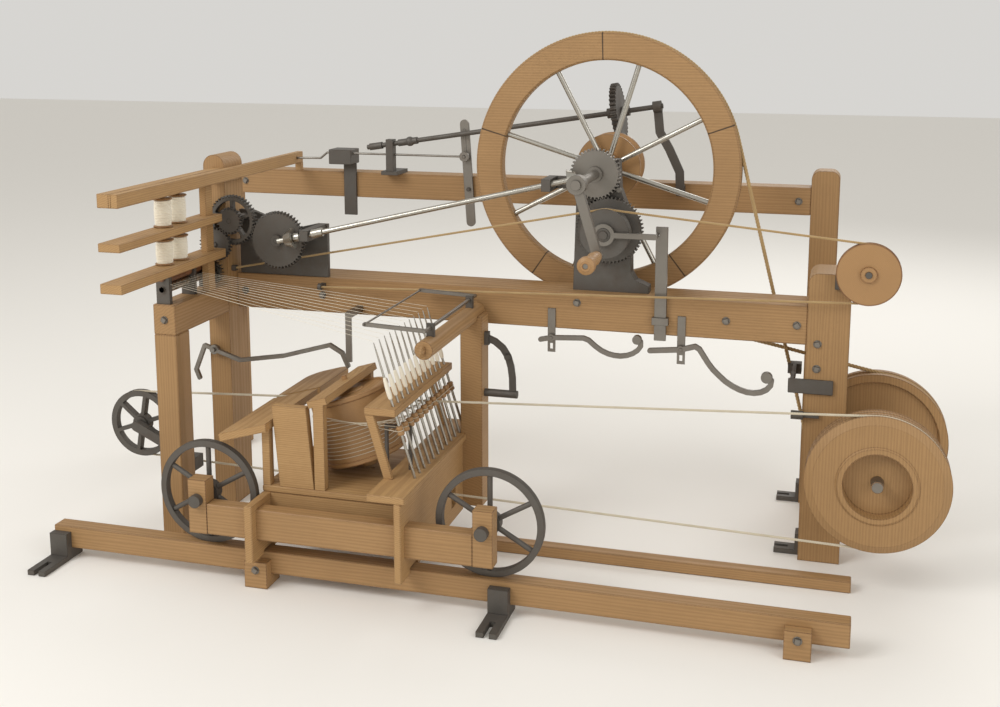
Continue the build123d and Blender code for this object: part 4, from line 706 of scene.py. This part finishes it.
rollers = {
    "x": -1062.0, "z": 861.0, "reach": 16.0, "neck": 9.0, "front": -334.0, "back": -21.0,
    "sections": ((-309.5, -168.5), (-151.5, -53.5)),  # front and back of each fluted length
    "flutes": 30, "fluteDepth": 1.1,
}


def fluted(r, t):
    # flutes in the outer skin: r less depth * |sin(flutes * t / 2)|
    depth = rollers["fluteDepth"] * np.abs(np.sin(t * rollers["flutes"] / 2))
    return r - np.where(r > 14, depth, 0)


neck, reach = rollers["neck"], rollers["reach"]
rollerProfile = [(0, rollers["front"]), (neck, rollers["front"])]
for first, last in rollers["sections"]:
    rollerProfile += [(neck, first), (reach - 3, first), (reach, first + 2)]
    rollerProfile += [(reach, last - 2), (reach - 3, last), (neck, last)]
rollerProfile += [(neck, rollers["back"]), (0, rollers["back"])]
rollerShape = turnedShape(rollerProfile, (rollers["x"], 0, rollers["z"]), (0, 1, 0), 120, fluted)
addPiece("flutedRoller", rollerShape, "turnedSteel", "bottom_roller")
print("creel and rollers made")

# iron ends of the twin pulleys' axle, in front of the front pulley and behind the back one
axleEnds = {"reach": 18.4, "front": (-160.4, -109.6), "back": (335.6, 348.4)}
reach = axleEnds["reach"]
endShapes = []
for low, high in (axleEnds["front"], axleEnds["back"]):
    profile = [
        (0, low), (reach - 2.5, low), (reach, low + 2.5), (reach, high - 0.5), (0, high - 0.5),
    ]
    endShapes.append(turnedShape(profile, (twinPulley[0], 0, twinPulley[1]), (0, 1, 0), 40))
addPiece("pulleyAxleEnds", joined(endShapes), "forgedIron", "driver")
print("axle ends made")

# nuts where the frame is bolted: a face's y, then x and z of each nut on it
squareNuts = {
    "railFace": (93.0, (
        (-985, 776), (215, 805), (700, 776), (920, 776), (-690, 776), (985, 640), (985, 720),
        (1055, 200),
    )),
    "beamFace": (-335.0, ((-1056, 762),)),
    "backFace": (593.0, ((-1230, 1098), (890, 1098))),
    "blockFace": (-571.0, ((-638, 58), (981, 58))),
}
gearStandNuts = {"y": 140, "spots": ((339, 1177), (222, 1000))}
washerProfile = [(0, 0), (13, 0), (13, 1.6), (12.4, 2.2), (0, 2.2)]
squareProfile = [(0, 2.2), (11.6, 2.2), (11.6, 7.2), (10.4, 8.6), (0, 8.6)]
hexProfile = [(0, 0), (11, 0), (11, 3.4), (9.5, 4.8), (0, 4.8)]
frontward = (0, -1, 0)
nutShapes = []
for y, spots in squareNuts.values():
    for index, (x, z) in enumerate(spots):
        nutShapes.append(turnedShape(washerProfile, (x, y, z), frontward, 28))
        points, faces = turnedShape(squareProfile, (0, 0, 0), frontward, 4)
        turn = radians(12 + 23 * index)  # no two nuts were tightened to the same angle
        acrossX, alongY, upZ = points.T
        turned = [
            acrossX * cos(turn) - upZ * sin(turn), alongY, acrossX * sin(turn) + upZ * cos(turn),
        ]
        nutShapes.append((np.stack(turned, axis=1) + np.array([x, y, z]), faces))
for x, z in gearStandNuts["spots"]:
    nutShapes.append(turnedShape(hexProfile, (x, gearStandNuts["y"], z), frontward, 6))
addPiece("frameNuts", joined(nutShapes), "forgedIron", "frame", ("frame_bolts",), crease=20.0)
print("nuts made")

# a pale matt floor and room, and three soft lamps
room = {"floor": "#efece6", "floorRoughness": 0.9, "air": "#f4f2ee", "strength": 0.75}
floorMaterial, tree, surface = newMaterial("paleFloor")
surface.inputs["Base Color"].default_value = linearColour(room["floor"])
surface.inputs["Roughness"].default_value = room["floorRoughness"]
bpy.ops.mesh.primitive_plane_add(size=40, location=(0, 0, -0.001))
floor = bpy.context.object
floor.name = "floor"
floor.data.materials.append(floorMaterial)

world = bpy.data.worlds.new("paleRoom")
bpy.context.scene.world = world
world.use_nodes = True
background = world.node_tree.nodes["Background"]
background.inputs["Color"].default_value = linearColour(room["air"])
background.inputs["Strength"].default_value = room["strength"]

lamps = {
    # place in m, width in m, power in W
    "key": ((-3.2, -4.2, 4.6), 3.0, 190.0),
    "fill": ((4.2, -3.2, 2.6), 3.5, 60.0),
    "rim": ((1.5, 4.5, 4.0), 3.0, 80.0),
}
lampTarget = Vector((0, 0, 0.7))
for name, (place, size, power) in lamps.items():
    data = bpy.data.lights.new(name, "AREA")
    data.size, data.energy = size, power
    lamp = bpy.data.objects.new(name, data)
    lamp.location = place
    lamp.rotation_euler = (lampTarget - Vector(place)).to_track_quat("-Z", "Y").to_euler()
    bpy.context.scene.collection.objects.link(lamp)

# the camera fitted to the photo: place in m, yaw and pitch in degrees, focal length in pixels
# of a picture 1000 wide, and how far the frame is dropped
eye = {"place": (1.069, -3.827, 1.720), "yaw": 15.9, "pitch": 9.7, "focal": 1249.0, "drop": -0.12}
photoWidth, sensorWidth = 1000, 36.0
yaw, pitch = radians(eye["yaw"]), radians(eye["pitch"])
sight = Vector((-sin(yaw) * cos(pitch), cos(yaw) * cos(pitch), -sin(pitch)))
cameraData = bpy.data.cameras.new("photoCamera")
cameraData.sensor_width = sensorWidth
cameraData.lens = sensorWidth * eye["focal"] / photoWidth
cameraData.shift_y = eye["drop"]
camera = bpy.data.objects.new("photoCamera", cameraData)
camera.location = eye["place"]
camera.rotation_euler = sight.to_track_quat("-Z", "Y").to_euler()
bpy.context.scene.collection.objects.link(camera)
bpy.context.scene.camera = camera
bpy.context.scene.view_settings.view_transform = "Standard"
print("floor, light and camera set")
